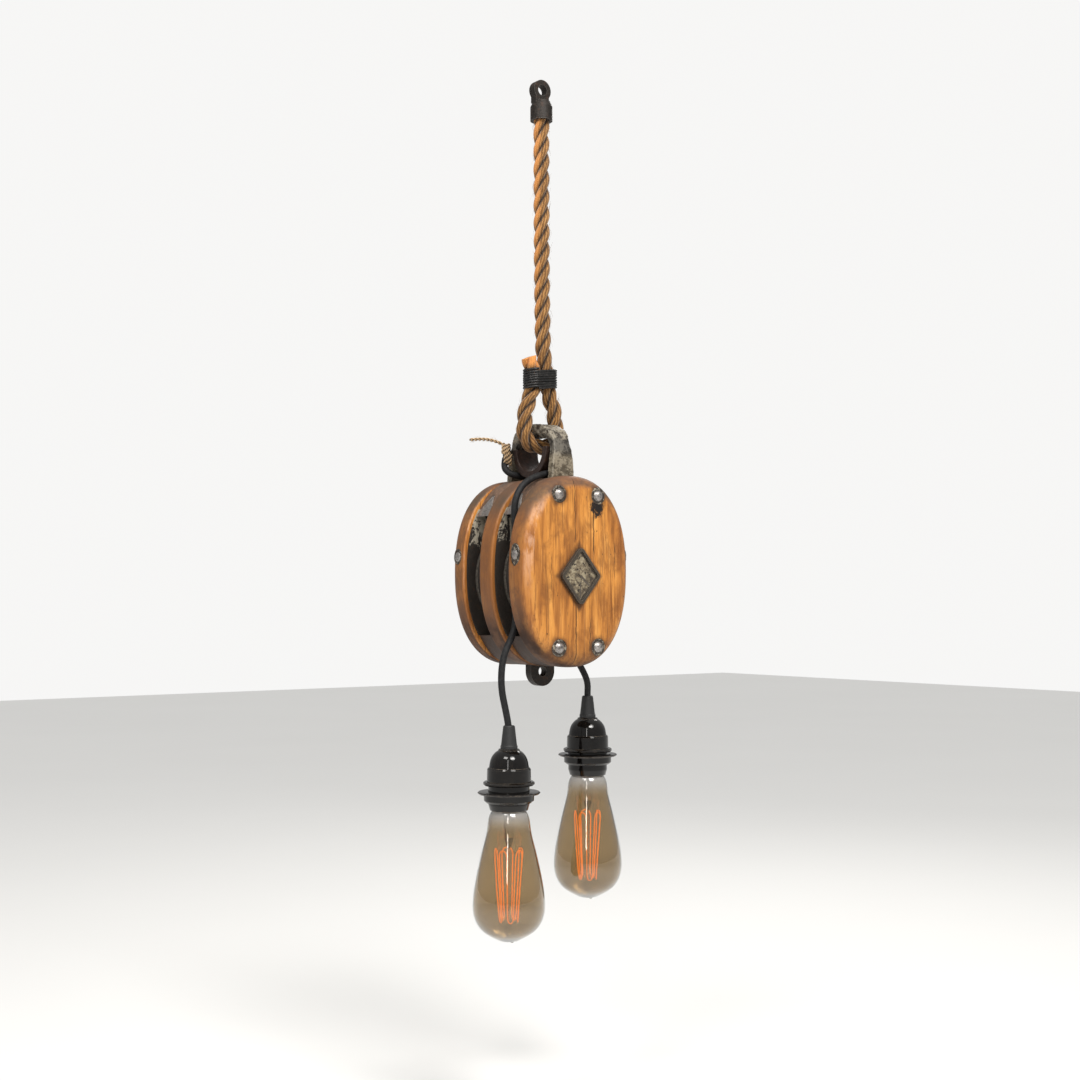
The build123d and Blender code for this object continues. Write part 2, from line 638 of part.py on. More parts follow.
def filament(at):
    """The squirrel cage: straight strands from a wide upper ring to a narrower lower one."""
    lean = degrees(atan2(CAGE_TOP[0] - CAGE_BOTTOM[0], CAGE_TOP[1] - CAGE_BOTTOM[1]))
    length = ((CAGE_TOP[0] - CAGE_BOTTOM[0]) ** 2 + (CAGE_TOP[1] - CAGE_BOTTOM[1]) ** 2) ** 0.5
    middle_r = (CAGE_TOP[0] + CAGE_BOTTOM[0]) / 2
    middle_z = (CAGE_TOP[1] + CAGE_BOTTOM[1]) / 2
    strand = Pos(middle_r, 0, middle_z) * Rot(0, lean, 0) * Cylinder(STRAND_R, length)
    return [Pos(*at) * Rot(0, 0, 360 * i / STRANDS) * strand for i in range(STRANDS)]


def lamp(letter, at, ring_top, drop):
    return {
        f"flex_{letter}_drop": flex_drop(drop, f"flex_{letter}_drop"),
        f"cord_grip_{letter}": cord_grip(at),
        f"holder_cap_{letter}": holder_cap(at),
        f"holder_body_{letter}": holder_body(at),
        f"upper_ring_{letter}": upper_ring(at),
        f"shade_ring_{letter}": shade_ring(at, ring_top),
        f"contact_insert_{letter}": contact_insert(at),
        f"thread_shell_{letter}": thread_shell(at),
        f"bulb_glass_{letter}": bulb_glass(at),
        f"bulb_cap_{letter}": bulb_cap(at),
        f"bulb_contact_{letter}": bulb_contact(at),
        f"bulb_stem_{letter}": bulb_stem(at),
        f"filament_{letter}": filament(at),
    }


def finished(shape):
    """One node's solids, moved so that the origin is the hole in the rope socket."""
    solids = list(shape) if isinstance(shape, list) else shape.solids()
    moved = [Pos(0, 0, -HANG_Z) * s for s in solids]
    return moved[0] if len(moved) == 1 else Compound(children=moved)


NEAR, FAR = -1, 1
nodes = {
    "rope_socket": rope_socket(),
    "rope": rope(),
    "rope_seizing": rope_seizing(),
    "near_cheek": cheek(NEAR),
    "far_cheek": cheek(FAR),
    "center_partition": partition(),
    "near_top_chock": chock(NEAR, 1),
    "far_top_chock": chock(FAR, 1),
    "near_bottom_chock": chock(NEAR, -1),
    "far_bottom_chock": chock(FAR, -1),
    "near_swallow_liners": swallow_liners(NEAR),
    "far_swallow_liners": swallow_liners(FAR),
    "swallow_plates": swallow_plates(NEAR) + swallow_plates(FAR),
    "bail": bail(),
    "bail_saddle": saddle(),
    "near_strap": strap(NEAR),
    "far_strap": strap(FAR),
    "becket_strap": becket(),
    "sheave_pin": rod_y(0, PIN_Z, PIN_R, -CHEEK_OUT_Y, CHEEK_OUT_Y),
    "near_pin_plate": pin_plate(NEAR),
    "far_pin_plate": pin_plate(FAR),
    "shell_rivets": shell_rivets(),
    "shell_washers": shell_washers(),
    "side_rivets": side_rivets(),
    "side_washers": side_washers(),
    "near_sheave": sheave(NEAR),
    "far_sheave": sheave(FAR),
    "near_bush": bush(NEAR),
    "far_bush": bush(FAR),
    "flex_a_held": flex_held(FLEX_A_HELD, "flex_a_held"),
    "flex_b_held": flex_held(FLEX_B_HELD, "flex_b_held"),
    "twine_lashing": twine_lashing(),
    "twine_tail": tube(TWINE_TAIL, TWINE_R, "twine_tail"),
    **lamp("a", LAMP_A, RING_TOP_A, FLEX_A_DROP),
    **lamp("b", LAMP_B, RING_TOP_B, FLEX_B_DROP),
}

os.makedirs("parts", exist_ok=True)
for name, shape in nodes.items():
    export_step(finished(shape), f"parts/{name}.step")
print(len(nodes), "nodes")
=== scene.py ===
"""The looks of a wooden double sheave block that carries two hanging lamps.

Lengths are metres in the frame's own axes. Route points and places on the block are measured from the
middle of its wooden shell, and placed() moves them into the frame.
"""
import json
import math
import random

import bpy
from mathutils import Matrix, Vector


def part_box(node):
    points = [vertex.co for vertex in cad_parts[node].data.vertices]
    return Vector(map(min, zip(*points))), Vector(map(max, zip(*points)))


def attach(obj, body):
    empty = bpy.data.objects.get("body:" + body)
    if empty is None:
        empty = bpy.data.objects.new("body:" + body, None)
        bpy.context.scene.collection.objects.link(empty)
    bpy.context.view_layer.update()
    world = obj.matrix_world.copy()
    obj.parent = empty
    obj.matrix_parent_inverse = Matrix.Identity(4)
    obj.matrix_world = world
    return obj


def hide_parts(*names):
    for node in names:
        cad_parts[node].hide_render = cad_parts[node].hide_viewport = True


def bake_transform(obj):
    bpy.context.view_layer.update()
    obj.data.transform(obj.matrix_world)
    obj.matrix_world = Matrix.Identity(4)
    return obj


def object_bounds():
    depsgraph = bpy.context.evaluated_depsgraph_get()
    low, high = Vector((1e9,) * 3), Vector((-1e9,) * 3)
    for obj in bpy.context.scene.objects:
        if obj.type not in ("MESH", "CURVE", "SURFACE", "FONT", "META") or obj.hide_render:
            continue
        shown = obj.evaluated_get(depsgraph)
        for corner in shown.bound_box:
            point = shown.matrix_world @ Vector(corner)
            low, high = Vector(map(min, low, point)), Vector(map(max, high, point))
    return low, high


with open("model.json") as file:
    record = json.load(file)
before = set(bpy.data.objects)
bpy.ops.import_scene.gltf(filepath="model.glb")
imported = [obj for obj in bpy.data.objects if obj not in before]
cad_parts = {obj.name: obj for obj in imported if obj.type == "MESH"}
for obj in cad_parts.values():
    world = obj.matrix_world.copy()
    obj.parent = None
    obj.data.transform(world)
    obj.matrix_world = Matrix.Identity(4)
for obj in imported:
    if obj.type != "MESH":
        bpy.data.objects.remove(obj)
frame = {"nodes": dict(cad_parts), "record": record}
NODES = frame["nodes"]
CAD_LOW, CAD_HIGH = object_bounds()
CHEEK_LOW, CHEEK_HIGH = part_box("near_cheek")
SHELL_Z = (CHEEK_LOW.z + CHEEK_HIGH.z) / 2


def placed(points):
    """Points measured from the middle of the shell, in the frame."""
    return [Vector((x, y, z + SHELL_Z)) for x, y, z in points]


# -------------------------------- routes of the rope, flexes and twine
ROPE_D = 0.015
FLEX_D = 0.006
TWINE_D = 0.0032
WIRE_D = 0.0023

ROPE_ROUTE = [
    (0.0017, 0, 0.436), (0.0017, 0, 0.209), (0.0077, 0, 0.185), (0.0077, 0, 0.169), (0.0181, 0, 0.147),
    (0.0181, 0, 0.1154), (-0.0181, 0, 0.1154), (-0.0181, 0, 0.147), (-0.0077, 0, 0.169),
    (-0.0077, 0, 0.185), (-0.0128, 0, 0.198),
]
PIVOT_A = (-0.058, -0.0263, -0.070)
FLEX_A_ROUTE = [
    (-0.0165, 0.030, 0.1125), (-0.0125, 0.038, 0.1095), (-0.002, 0.0415, 0.1055), (0.012, 0.04, 0.1015),
    (0.0235, 0.0315, 0.099), (0.0305, 0.018, 0.097), (0.0315, 0.002, 0.095), (0.024, -0.013, 0.0924),
    (0.009, -0.0213, 0.0903), (-0.0098, -0.0223, 0.0896), (-0.028, -0.025, 0.084),
    (-0.0405, -0.0275, 0.077), (-0.0488, -0.029, 0.066), (-0.0498, -0.0278, 0.053),
    (-0.0455, -0.0240, 0.032), (-0.0472, -0.0224, 0.007), (-0.0462, -0.0224, -0.018),
    (-0.0442, -0.0232, -0.040), (-0.0478, -0.0246, -0.0555), PIVOT_A, (-0.0618, -0.0256, -0.0845),
    (-0.0620, -0.0255, -0.1045), (-0.0565, -0.0255, -0.1255), (-0.0538, -0.0255, -0.138),
    (-0.0535, -0.0255, -0.148),
]
PIVOT_B = (0.06, 0.009, -0.096)
FLEX_B_ROUTE = [
    (-0.0175, 0.0305, 0.1065), (-0.0203, 0.0298, 0.0985), (-0.0184, 0.0248, 0.0924),
    (-0.0105, 0.0213, 0.0898), (0.002, 0.0216, 0.0895), (0.014, 0.0223, 0.0886), (0.027, 0.024, 0.0846),
    (0.0395, 0.0265, 0.0772), (0.0486, 0.0285, 0.066), (0.0517, 0.0286, 0.053), (0.0494, 0.0245, 0.03),
    (0.0478, 0.0226, 0.005), (0.0479, 0.0224, -0.02), (0.0473, 0.023, -0.044), (0.0502, 0.02, -0.066),
    (0.0545, 0.0145, -0.082), PIVOT_B, (0.0614, 0.0063, -0.1045), (0.06, 0.005, -0.113),
    (0.06, 0.005, -0.128),
]
TWINE_TAIL_ROUTE = [
    (-0.0175, 0.030, 0.1165), (-0.0205, 0.0305, 0.1195), (-0.028, 0.031, 0.1218), (-0.042, 0.031, 0.1236),
    (-0.0575, 0.030, 0.1212),
]


# -------------------------------- mesh helpers
class Skin:
    """Vertices and faces of one piece, gathered tube by tube, with a height and a UV for its shader."""

    def __init__(self):
        self.vertices = []
        self.heights = []
        self.faces = []
        self.uvs = []

    def tube(self, rings, heights=None, distances=None):
        """Adds a capped tube through rings, each a list of the same number of points.

        heights are shares of the cord's radius, ring by ring, and distances are how far along each ring is.
        """
        start, count = len(self.vertices), len(rings[0])
        distances = distances or [0.0] * len(rings)
        for i, ring in enumerate(rings):
            self.vertices += ring
            self.heights += heights[i] if heights else [1.0] * count
        for i in range(len(rings) - 1):
            for j in range(count):
                a = start + i * count + j
                b = start + i * count + (j + 1) % count
                self.faces.append((a, b, b + count, a + count))
                u0, u1 = j / count, (j + 1) / count
                v0, v1 = distances[i], distances[i + 1]
                self.uvs += [(u0, v0), (u1, v0), (u1, v1), (u0, v1)]
        last = start + (len(rings) - 1) * count
        self.faces.append(tuple(reversed(range(start, start + count))))
        self.faces.append(tuple(range(last, last + count)))
        self.uvs += [(0.0, 0.0)] * (2 * count)

    def piece(self, name, material):
        """The finished object, shaded smooth."""
        mesh = bpy.data.meshes.new(name)
        mesh.from_pydata(self.vertices, [], self.faces)
        mesh.polygons.foreach_set("use_smooth", [True] * len(mesh.polygons))
        mesh.attributes.new("height", "FLOAT", "POINT").data.foreach_set("value", self.heights)
        layer = mesh.uv_layers.new(name="along")
        layer.data.foreach_set("uv", [x for pair in self.uvs for x in pair])
        mesh.materials.append(material)
        made = bpy.data.objects.new(name, mesh)
        bpy.context.scene.collection.objects.link(made)
        return made


def nurbs_line(route):
    """The smooth line of a route: the points of a NURBS spline that has the route as its control points."""
    curve = bpy.data.curves.new("route", "CURVE")
    curve.dimensions = "3D"
    curve.resolution_u = 24
    spline = curve.splines.new("NURBS")
    spline.points.add(len(route) - 1)
    for control, place in zip(spline.points, route):
        control.co = (*place, 1.0)
    spline.order_u = 3
    spline.use_endpoint_u = True
    holder = bpy.data.objects.new("route", curve)
    mesh = bpy.data.meshes.new_from_object(holder)
    line = [v.co.copy() for v in mesh.vertices]
    bpy.data.objects.remove(holder)
    bpy.data.meshes.remove(mesh)
    return line


def evenly(line, step):
    """The line again, with points about step apart."""
    lengths = [(b - a).length for a, b in zip(line, line[1:])]
    count = max(2, round(sum(lengths) / step))
    wanted = [sum(lengths) * i / count for i in range(count + 1)]
    result, i, passed = [], 0, 0.0
    for distance in wanted:
        while i < len(lengths) - 1 and passed + lengths[i] < distance:
            passed += lengths[i]
            i += 1
        share = min(1.0, (distance - passed) / max(lengths[i], 1e-9))
        result.append(line[i].lerp(line[i + 1], share))
    return result


def length_of(line):
    return sum((b - a).length for a, b in zip(line, line[1:]))


def frames_along(line):
    """(point, side, up) at each point of a line, turned as little as possible from one to the next."""
    result, side = [], None
    for i, point in enumerate(line):
        ahead = (line[min(i + 1, len(line) - 1)] - line[max(i - 1, 0)]).normalized()
        side = side or ahead.orthogonal()
        side = (side - ahead * side.dot(ahead)).normalized()
        result.append((point, side, ahead.cross(side)))
    return result


def round_rings(line, radius, sides, taper=None):
    """Rings of a plain round tube; taper gives the radius' share at a place from 0 to 1 along it."""
    rings = []
    for i, (point, side, up) in enumerate(frames_along(line)):
        r = radius * (taper(i / (len(line) - 1)) if taper else 1.0)
        angles = [2 * math.pi * j / sides for j in range(sides)]
        rings.append([point + side * (r * math.cos(a)) + up * (r * math.sin(a)) for a in angles])
    return rings


def laid_strands(skin, line, radius, strands, lay, yarns, sides=40):
    """Adds the strands of a laid rope: each turns about the line once every lay, right handed."""
    strand_r = radius * (0.52 if strands == 3 else 0.56)
    offset = radius - strand_r
    step = length_of(line) / (len(line) - 1)
    frames = frames_along(line)
    distances = [i * step for i in range(len(line))]
    for strand in range(strands):
        rings, heights = [], []
        for distance, (point, side, up) in zip(distances, frames):
            turn = 2 * math.pi * (distance / lay + strand / strands)
            centre = point + (side * math.cos(turn) + up * math.sin(turn)) * offset
            ring = []
            for j in range(sides):
                a = 2 * math.pi * j / sides
                relief = 1 + 0.035 * math.cos(yarns * (a + 0.3 * turn))
                ring.append(centre + (side * math.cos(a) + up * math.sin(a)) * (strand_r * relief))
            rings.append(ring)
            heights.append([(p - point).length / radius for p in ring])
        skin.tube(rings, heights, distances)


FIBRE_POINTS = 6


def loose_fibres(skin, line, radius, count, length, rand, fibre_r=0.00011):
    """Adds thin stray fibres that leave a rope's surface."""
    frames = frames_along(line)
    for _ in range(count):
        i = rand.randrange(4, len(frames) - 4)
        point, side, up = frames[i]
        ahead = (line[i + 1] - line[i - 1]).normalized()
        a = rand.uniform(0, 2 * math.pi)
        out = side * math.cos(a) + up * math.sin(a)
        lean = ahead * rand.choice((-1, 1)) + out.cross(ahead) * rand.uniform(-0.5, 0.5)
        rise = rand.uniform(0.12, 0.42)
        long = length * rand.uniform(0.5, 1.3)
        curl = rand.uniform(-0.5, 0.5)
        points = []
        for k in range(FIBRE_POINTS):
            s = k / (FIBRE_POINTS - 1)
            sway = out.cross(ahead) * (curl * long * s * s * 0.5)
            lifted = out * (radius * 0.93 + long * rise * s * (1.3 - 0.5 * s))
            points.append(point + lifted + lean * (long * s * 0.8) + sway)
        skin.tube(round_rings(points, fibre_r, 3, lambda t: 1 - 0.7 * t))


# -------------------------------- materials
class Shader:
    """One material's nodes, with a short call for each kind that is used here."""

    def __init__(self, name):
        self.material = bpy.data.materials.new(name)
        self.material.use_nodes = True
        self.tree = self.material.node_tree
        self.bsdf = self.tree.nodes["Principled BSDF"]
        coordinates = self.add("ShaderNodeTexCoord")
        self.normal = coordinates.outputs["Normal"]
        from_shell = {0: coordinates.outputs["Object"], 1: (0, 0, -SHELL_Z)}
        self.place = self.add("ShaderNodeVectorMath", from_shell).outputs[0]

    def add(self, kind, inputs=None, **settings):
        node = self.tree.nodes.new(kind)
        for key, value in settings.items():
            setattr(node, key, value)
        for key, value in (inputs or {}).items():
            self.put(node.inputs[key], value)
        return node

    def put(self, socket, value):
        if isinstance(value, bpy.types.NodeSocket):
            self.tree.links.new(value, socket)
        elif socket.type == "RGBA" and len(value) == 3:
            socket.default_value = (*value, 1.0)
        else:
            socket.default_value = value

    def set(self, **inputs):
        """Sets or links the shader's own sockets, named with underscores for spaces."""
        for key, value in inputs.items():
            self.put(self.bsdf.inputs[key.replace("_", " ")], value)

    def math(self, operation, a, b=0.0):
        return self.add("ShaderNodeMath", {0: a, 1: b}, operation=operation).outputs[0]

    def times(self, a, b):
        return self.math("MULTIPLY", a, b)

    def plus(self, a, b):
        return self.math("ADD", a, b)

    def minus(self, a, b):
        return self.math("SUBTRACT", a, b)

    def over(self, a, b):
        return self.math("DIVIDE", a, b)

    def larger(self, a, b):
        return self.math("MAXIMUM", a, b)

    def absolute(self, a):
        return self.math("ABSOLUTE", a)

    def sine(self, a):
        return self.math("SINE", a)

    def away(self, dx, dz):
        """How far a point is from another that is dx and dz off."""
        return self.math("SQRT", self.plus(self.times(dx, dx), self.times(dz, dz)))

    def axes(self, vector):
        return self.add("ShaderNodeSeparateXYZ", {0: vector}).outputs

    def noise(self, size, stretch=(1, 1, 1), detail=4.0, roughness=0.55, distortion=0.0, seed=0.0):
        """Fractal noise whose blobs are about size across, times stretch along each axis."""
        moved = self.add("ShaderNodeMapping", {
            "Vector": self.place, "Location": (seed, seed * 1.7, seed * 2.3),
            "Scale": [1 / (size * s) for s in stretch]})
        node = self.add("ShaderNodeTexNoise", {
            "Vector": moved.outputs[0], "Scale": 1.0, "Detail": detail, "Roughness": roughness,
            "Distortion": distortion})
        return node.outputs["Fac"]

    def band(self, value, low, high):
        """0 at low and 1 at high, smooth between; low may be the larger."""
        ends = {"Value": value, "From Min": low, "From Max": high}
        return self.add("ShaderNodeMapRange", ends, interpolation_type="SMOOTHSTEP").outputs["Result"]

    def mix(self, amount, a, b):
        """A colour that goes from a to b."""
        node = self.add("ShaderNodeMix", data_type="RGBA")
        self.put(node.inputs[0], amount)
        self.put(node.inputs[6], a)
        self.put(node.inputs[7], b)
        return node.outputs[2]

    def between(self, amount, a, b):
        """A number that goes from a to b."""
        return self.add("ShaderNodeMapRange", {"Value": amount, "To Min": a, "To Max": b}).outputs["Result"]

    def ramp(self, value, *stops):
        """The colour at value, from stops of (value, colour)."""
        node = self.add("ShaderNodeValToRGB", {"Fac": value})
        elements = node.color_ramp.elements
        while len(elements) < len(stops):
            elements.new(0.5)
        for element, (position, colour) in zip(elements, stops):
            element.position = position
            element.color = (*colour, 1.0)
        return node.outputs["Color"]

    def bump(self, height, distance, strength):
        node = self.add("ShaderNodeBump", {"Height": height, "Distance": distance, "Strength": strength})
        return node.outputs["Normal"]

    def worn_edge(self, radius, low=0.02, high=0.25):
        """1 along edges: where a normal rounded over radius leaves the true one."""
        rounded = self.add("ShaderNodeBevel", {"Radius": radius}, samples=6).outputs[0]
        true = self.add("ShaderNodeNewGeometry").outputs["Normal"]
        turned = self.add("ShaderNodeVectorMath", {0: rounded, 1: true}, operation="DOT_PRODUCT")
        return self.band(turned.outputs["Value"], 1 - low, 1 - high)

    def add_to(self, *values):
        """The sum of several masks, at most 1."""
        total = values[0]
        for value in values[1:]:
            total = self.plus(total, value)
        return self.math("MINIMUM", total, 1.0)


# The CAD's sizes that the materials follow, and places from the middle of the shell.
RIVET_X = 0.022
RIVET_Z = 0.068
WASHER_R = 0.0078
PLATE_Z = -0.0045
PLATE_HALF_W = 0.0225
PLATE_HALF_H = 0.027
SHEAVE_R = 0.050

CRACKS = [  # x, lowest z, highest z, half width: drying cracks in the cheeks' faces
    (-0.0045, 0.022, 0.088, 0.00022), (-0.0035, -0.088, -0.030, 0.00022), (0.0165, 0.012, 0.064, 0.0003),
    (0.0125, -0.075, -0.040, 0.00018), (-0.031, -0.02, 0.018, 0.00014), (0.041, -0.010, 0.030, 0.00014),
]
CRACK_WANDER = 0.0045
CRACK_TAPER = 0.008
STAIN_WANDER = 0.0075
STAIN_INNER = 0.0025    # how far a stain reaches past its washer's rim, where it starts to fade
STAIN_OUTER = 0.0085    # and where it ends
SMEAR_X = 0.021
SMEAR_Z = 0.0565
SMEAR_R = 0.0085


def lozenge(s, x, dz):
    """1 on the outline of the pin plate, 0 at its middle and growing evenly between."""
    return s.plus(s.over(s.absolute(x), PLATE_HALF_W), s.over(s.absolute(dz), PLATE_HALF_H))


def crack_marks(s, x, z):
    """A mask of the cheeks' drying cracks, which wander and taper to nothing at both ends."""
    wander = s.times(s.minus(s.noise(0.012, (9, 9, 1), 3), 0.5), CRACK_WANDER)
    cracks = []
    for at_x, low, high, half in CRACKS:
        off = s.absolute(s.minus(s.plus(x, wander), at_x))
        line = s.band(off, half * 2.2, half * 0.6)
        ends = s.times(s.band(z, low, low + CRACK_TAPER), s.band(z, high, high - CRACK_TAPER))
        cracks.append(s.times(line, ends))
    return s.add_to(*cracks)


def iron_stains(s, x, z):
    """A mask of the dark stain that the four washers and the pin plate have left round them."""
    ragged = s.times(s.noise(0.006, (1, 1, 1.6), 4), STAIN_WANDER)
    stains = []
    for sign_x in (-1, 1):
        for sign_z in (-1, 1):
            away = s.away(s.minus(x, sign_x * RIVET_X), s.minus(z, sign_z * RIVET_Z))
            stains.append(s.band(s.plus(away, ragged), WASHER_R + STAIN_OUTER, WASHER_R + STAIN_INNER))
    round_plate = s.plus(lozenge(s, x, s.minus(z, PLATE_Z)), s.times(ragged, 40))
    stains.append(s.band(round_plate, 1.44, 1.14))
    return s.add_to(*stains)


def black_smear(s, x, z):
    """A mask of the tarry smear under the upper rivet on the +X side."""
    blotch = s.noise(0.0045, (1, 1, 1.3), 5, 0.7, 0.8, 41.0)
    away = s.away(s.over(s.minus(x, SMEAR_X), SMEAR_R), s.over(s.minus(z, SMEAR_Z), SMEAR_R))
    return s.band(s.plus(away, s.times(blotch, 2.4)), 2.15, 1.75)


def wood_figure(s, x):
    """Upright grain under old varnish: (colour, streaks, open pores and pits)."""
    bands = s.noise(0.010, (1, 1, 9), 5, 0.6, 0.6)
    colour = s.ramp(bands, (0.28, (0.185, 0.062, 0.013)), (0.42, (0.37, 0.140, 0.028)),
                    (0.55, (0.55, 0.225, 0.044)), (0.72, (0.68, 0.315, 0.074)))
    streaks = s.noise(0.0022, (1, 1, 26), 4, 0.65, 0.2, 3.0)
    colour = s.mix(s.times(s.band(streaks, 0.49, 0.66), 0.70), colour, (0.150, 0.052, 0.013))
    pale = s.band(s.noise(0.0016, (1, 1, 34), 3, 0.6, 0.1, 8.0), 0.55, 0.75)
    colour = s.mix(s.times(pale, 0.3), colour, (0.80, 0.42, 0.14))
    clouds = s.band(s.noise(0.022, (1, 1, 1.8), 5, 0.65, 0.5, 5.0), 0.46, 0.66)
    colour = s.mix(s.times(clouds, 0.66), colour, (0.190, 0.068, 0.017))
    rim = s.band(s.absolute(x), 0.040, 0.058)
    colour = s.mix(s.times(rim, 0.42), colour, (0.240, 0.078, 0.020))
    pores = s.band(s.noise(0.0009, (1, 1, 13), 2, 0.5, 0.0, 11.0), 0.66, 0.74)
    pits = s.band(s.noise(0.0032, (1, 1, 1.5), 2, 0.5, 0.0, 17.0), 0.735, 0.765)
    marks = s.add_to(s.times(pores, 0.7), pits)
    return s.mix(marks, colour, (0.055, 0.022, 0.010)), streaks, marks


def wood_weather(s, colour, red, z, ny, nz):
    """Smutty edges, grey shoulders, a near black foot and a reddish crown: (colour, dirt)."""
    side = s.band(s.absolute(ny), 0.80, 0.35)
    smut = s.band(s.noise(0.013, (1, 1, 1.8), 5, 0.7, 0.5, 27.0), 0.44, 0.60)
    colour = s.mix(s.times(side, s.between(smut, 0.50, 0.85)), colour, (0.135, 0.058, 0.024))
    colour = s.mix(red, colour, (0.200, 0.076, 0.022))
    grime = s.band(s.noise(0.016, (1, 1, 1), 5, 0.65, 0.3, 21.0), 0.38, 0.62)
    shoulder = s.times(s.band(nz, 0.12, 0.50), s.band(z, 0.036, 0.070))
    colour = s.mix(s.times(shoulder, s.between(grime, 0.72, 0.98)), colour, (0.070, 0.049, 0.033))
    low = s.add_to(s.times(side, s.band(z, -0.022, -0.060)), s.band(z, -0.056, -0.088))
    foot = s.times(low, s.between(grime, 0.68, 1.0))
    colour = s.mix(s.times(foot, s.between(side, 0.65, 0.97)), colour, (0.034, 0.015, 0.008))
    crown = s.times(s.band(z, 0.066, 0.086), 0.28)
    return s.mix(crown, colour, (0.240, 0.080, 0.030)), s.larger(shoulder, foot)


def marked_face(s, colour, x, z, nx, ny):
    """A cheek's face with pale scuffs and a painted sheen on its rounding toward -X, iron stains, a smear and
    cracks: (colour, cracks).
    """
    # Pale scuffs, partly a painted sheen where the rounding faces -X and -Y, from about mid height upward.
    scuffs_and_sheen = s.times(s.band(nx, -0.12, -0.30), s.band(ny, -0.55, -0.80))
    scuffs_and_sheen = s.times(scuffs_and_sheen, s.band(s.noise(0.008, (1, 1, 3), 5, 0.7, 0.0, 31.0), 0.42, 0.60))
    scuffs_and_sheen = s.times(scuffs_and_sheen, s.times(s.band(z, -0.03, 0.02), s.band(z, 0.066, 0.052)))
    colour = s.mix(s.times(scuffs_and_sheen, 0.6), colour, (0.62, 0.36, 0.22))
    flat = s.band(s.absolute(ny), 0.55, 0.85)
    cracks = crack_marks(s, x, z)
    colour = s.mix(s.times(s.times(iron_stains(s, x, z), flat), 0.80), colour, (0.050, 0.022, 0.012))
    colour = s.mix(s.times(black_smear(s, x, z), flat), colour, (0.012, 0.009, 0.008))
    return s.mix(s.times(cracks, flat), colour, (0.018, 0.009, 0.006)), cracks


def varnished_wood(name, red=0.0, faces=True):
    """Old varnished wood; red leans it to the brown of the inner walls, and faces marks the cheeks."""
    s = Shader(name)
    x, _, z = s.axes(s.place)
    nx, ny, nz = s.axes(s.normal)
    colour, streaks, marks = wood_figure(s, x)
    colour, dirt = wood_weather(s, colour, red, z, ny, nz)
    height = s.minus(s.times(streaks, 0.5), s.times(marks, 0.35))
    if faces:
        colour, cracks = marked_face(s, colour, x, z, nx, ny)
        height = s.minus(height, s.times(cracks, 1.6))
    rough = s.between(s.noise(0.004, (1, 1, 4), 4, 0.6, 0.0, 2.0), 0.28, 0.52)
    s.set(Base_Color=colour, Roughness=s.plus(rough, s.times(dirt, 0.34)))
    s.set(Normal=s.bump(height, 0.0006, 0.55))
    s.set(Coat_Weight=0.05, Coat_Roughness=0.25, Specular_IOR_Level=0.32)
    return s.material


def weathered_wood():
    """The grey-brown end grain of the chocks above and below the sheaves, with painted shade that darkens the
    lower chocks.
    """
    s = Shader("weathered_wood")
    grain = s.noise(0.003, (6, 1, 1), 5, 0.65, 0.5)
    colour = s.ramp(grain, (0.30, (0.050, 0.027, 0.016)), (0.50, (0.125, 0.070, 0.042)),
                    (0.72, (0.215, 0.125, 0.075)))
    dirt = s.band(s.noise(0.011, (1, 1, 1), 4, 0.6, 0.0, 4.0), 0.48, 0.66)
    colour = s.mix(s.times(dirt, 0.6), colour, (0.045, 0.032, 0.025))
    z = s.axes(s.place)[2]
    # Painted shade: the chocks below the middle of the shell turn near black.
    colour = s.mix(s.band(z, 0.02, -0.04), colour, s.mix(grain, (0.014, 0.007, 0.004), (0.055, 0.025, 0.012)))
    s.set(Base_Color=colour, Roughness=s.between(grain, 0.5, 0.78), Normal=s.bump(grain, 0.0008, 0.6))
    return s.material


def chipped_iron(name, bare, paint, cover, patch=0.006, edge_light=0.5, soft=0.012, edge_r=0.0010,
                 shade_band=None):
    """Dark iron under old paint that has chipped away.

    cover is about the painted share, patch the size of a chip, soft how gently it ends and edge_r the width
    of the pale rubbed edges, which are partly a painted edge highlight. Between the two shade heights it is
    darker, a painted shade under the bail's bend, and below them a little yellower.
    """
    s = Shader(name)
    cut = 0.62 - 0.24 * cover
    mottle = s.noise(0.0016, detail=4, roughness=0.6, seed=2.0)
    metal = s.mix(s.band(mottle, 0.35, 0.7), bare, [c * 2.1 for c in bare])
    rust = s.band(s.noise(0.005, detail=5, roughness=0.7, seed=9.0), 0.54, 0.68)
    metal = s.mix(s.times(rust, 0.55), metal, (0.075, 0.032, 0.016))
    patches = s.noise(patch, detail=7, roughness=0.72, distortion=0.6, seed=5.0)
    pits = s.band(s.noise(0.0022, detail=3, roughness=0.6, seed=13.0), 0.60, 0.50)
    painted = s.times(s.band(patches, cut - soft, cut + soft), s.between(pits, 0.25, 1.0))
    dirty = s.mix(s.noise(0.003, detail=5, roughness=0.7, seed=7.0), [c * 0.45 for c in paint], paint)
    colour = s.mix(painted, metal, dirty)
    # Painted shade: a darker band across the bail's legs just below its crown.
    if shade_band:
        low, high = shade_band
        z = s.plus(s.axes(s.place)[2], s.times(patches, 0.006))
        dark = s.times(s.band(z, low, low + 0.006), s.band(z, high + 0.0016, high))
        colour = s.mix(s.times(dark, 0.70), colour, (0.040, 0.037, 0.033))
        below = s.band(z, low + 0.002, low - 0.003)
        colour = s.mix(s.times(below, 0.45), colour, (0.200, 0.160, 0.100))
    # Pale rubbed edges: partly wear, partly a painted edge highlight.
    worn = s.times(s.worn_edge(edge_r), edge_light)
    colour = s.mix(worn, colour, (0.50, 0.47, 0.40))
    height = s.plus(s.times(painted, 0.6), s.times(mottle, 0.7))
    s.set(Base_Color=colour, Roughness=s.between(painted, 0.36, 0.66), Metallic=s.between(painted, 0.65, 0.0))
    s.set(Normal=s.bump(height, 0.0004, 0.8))
    return s.material


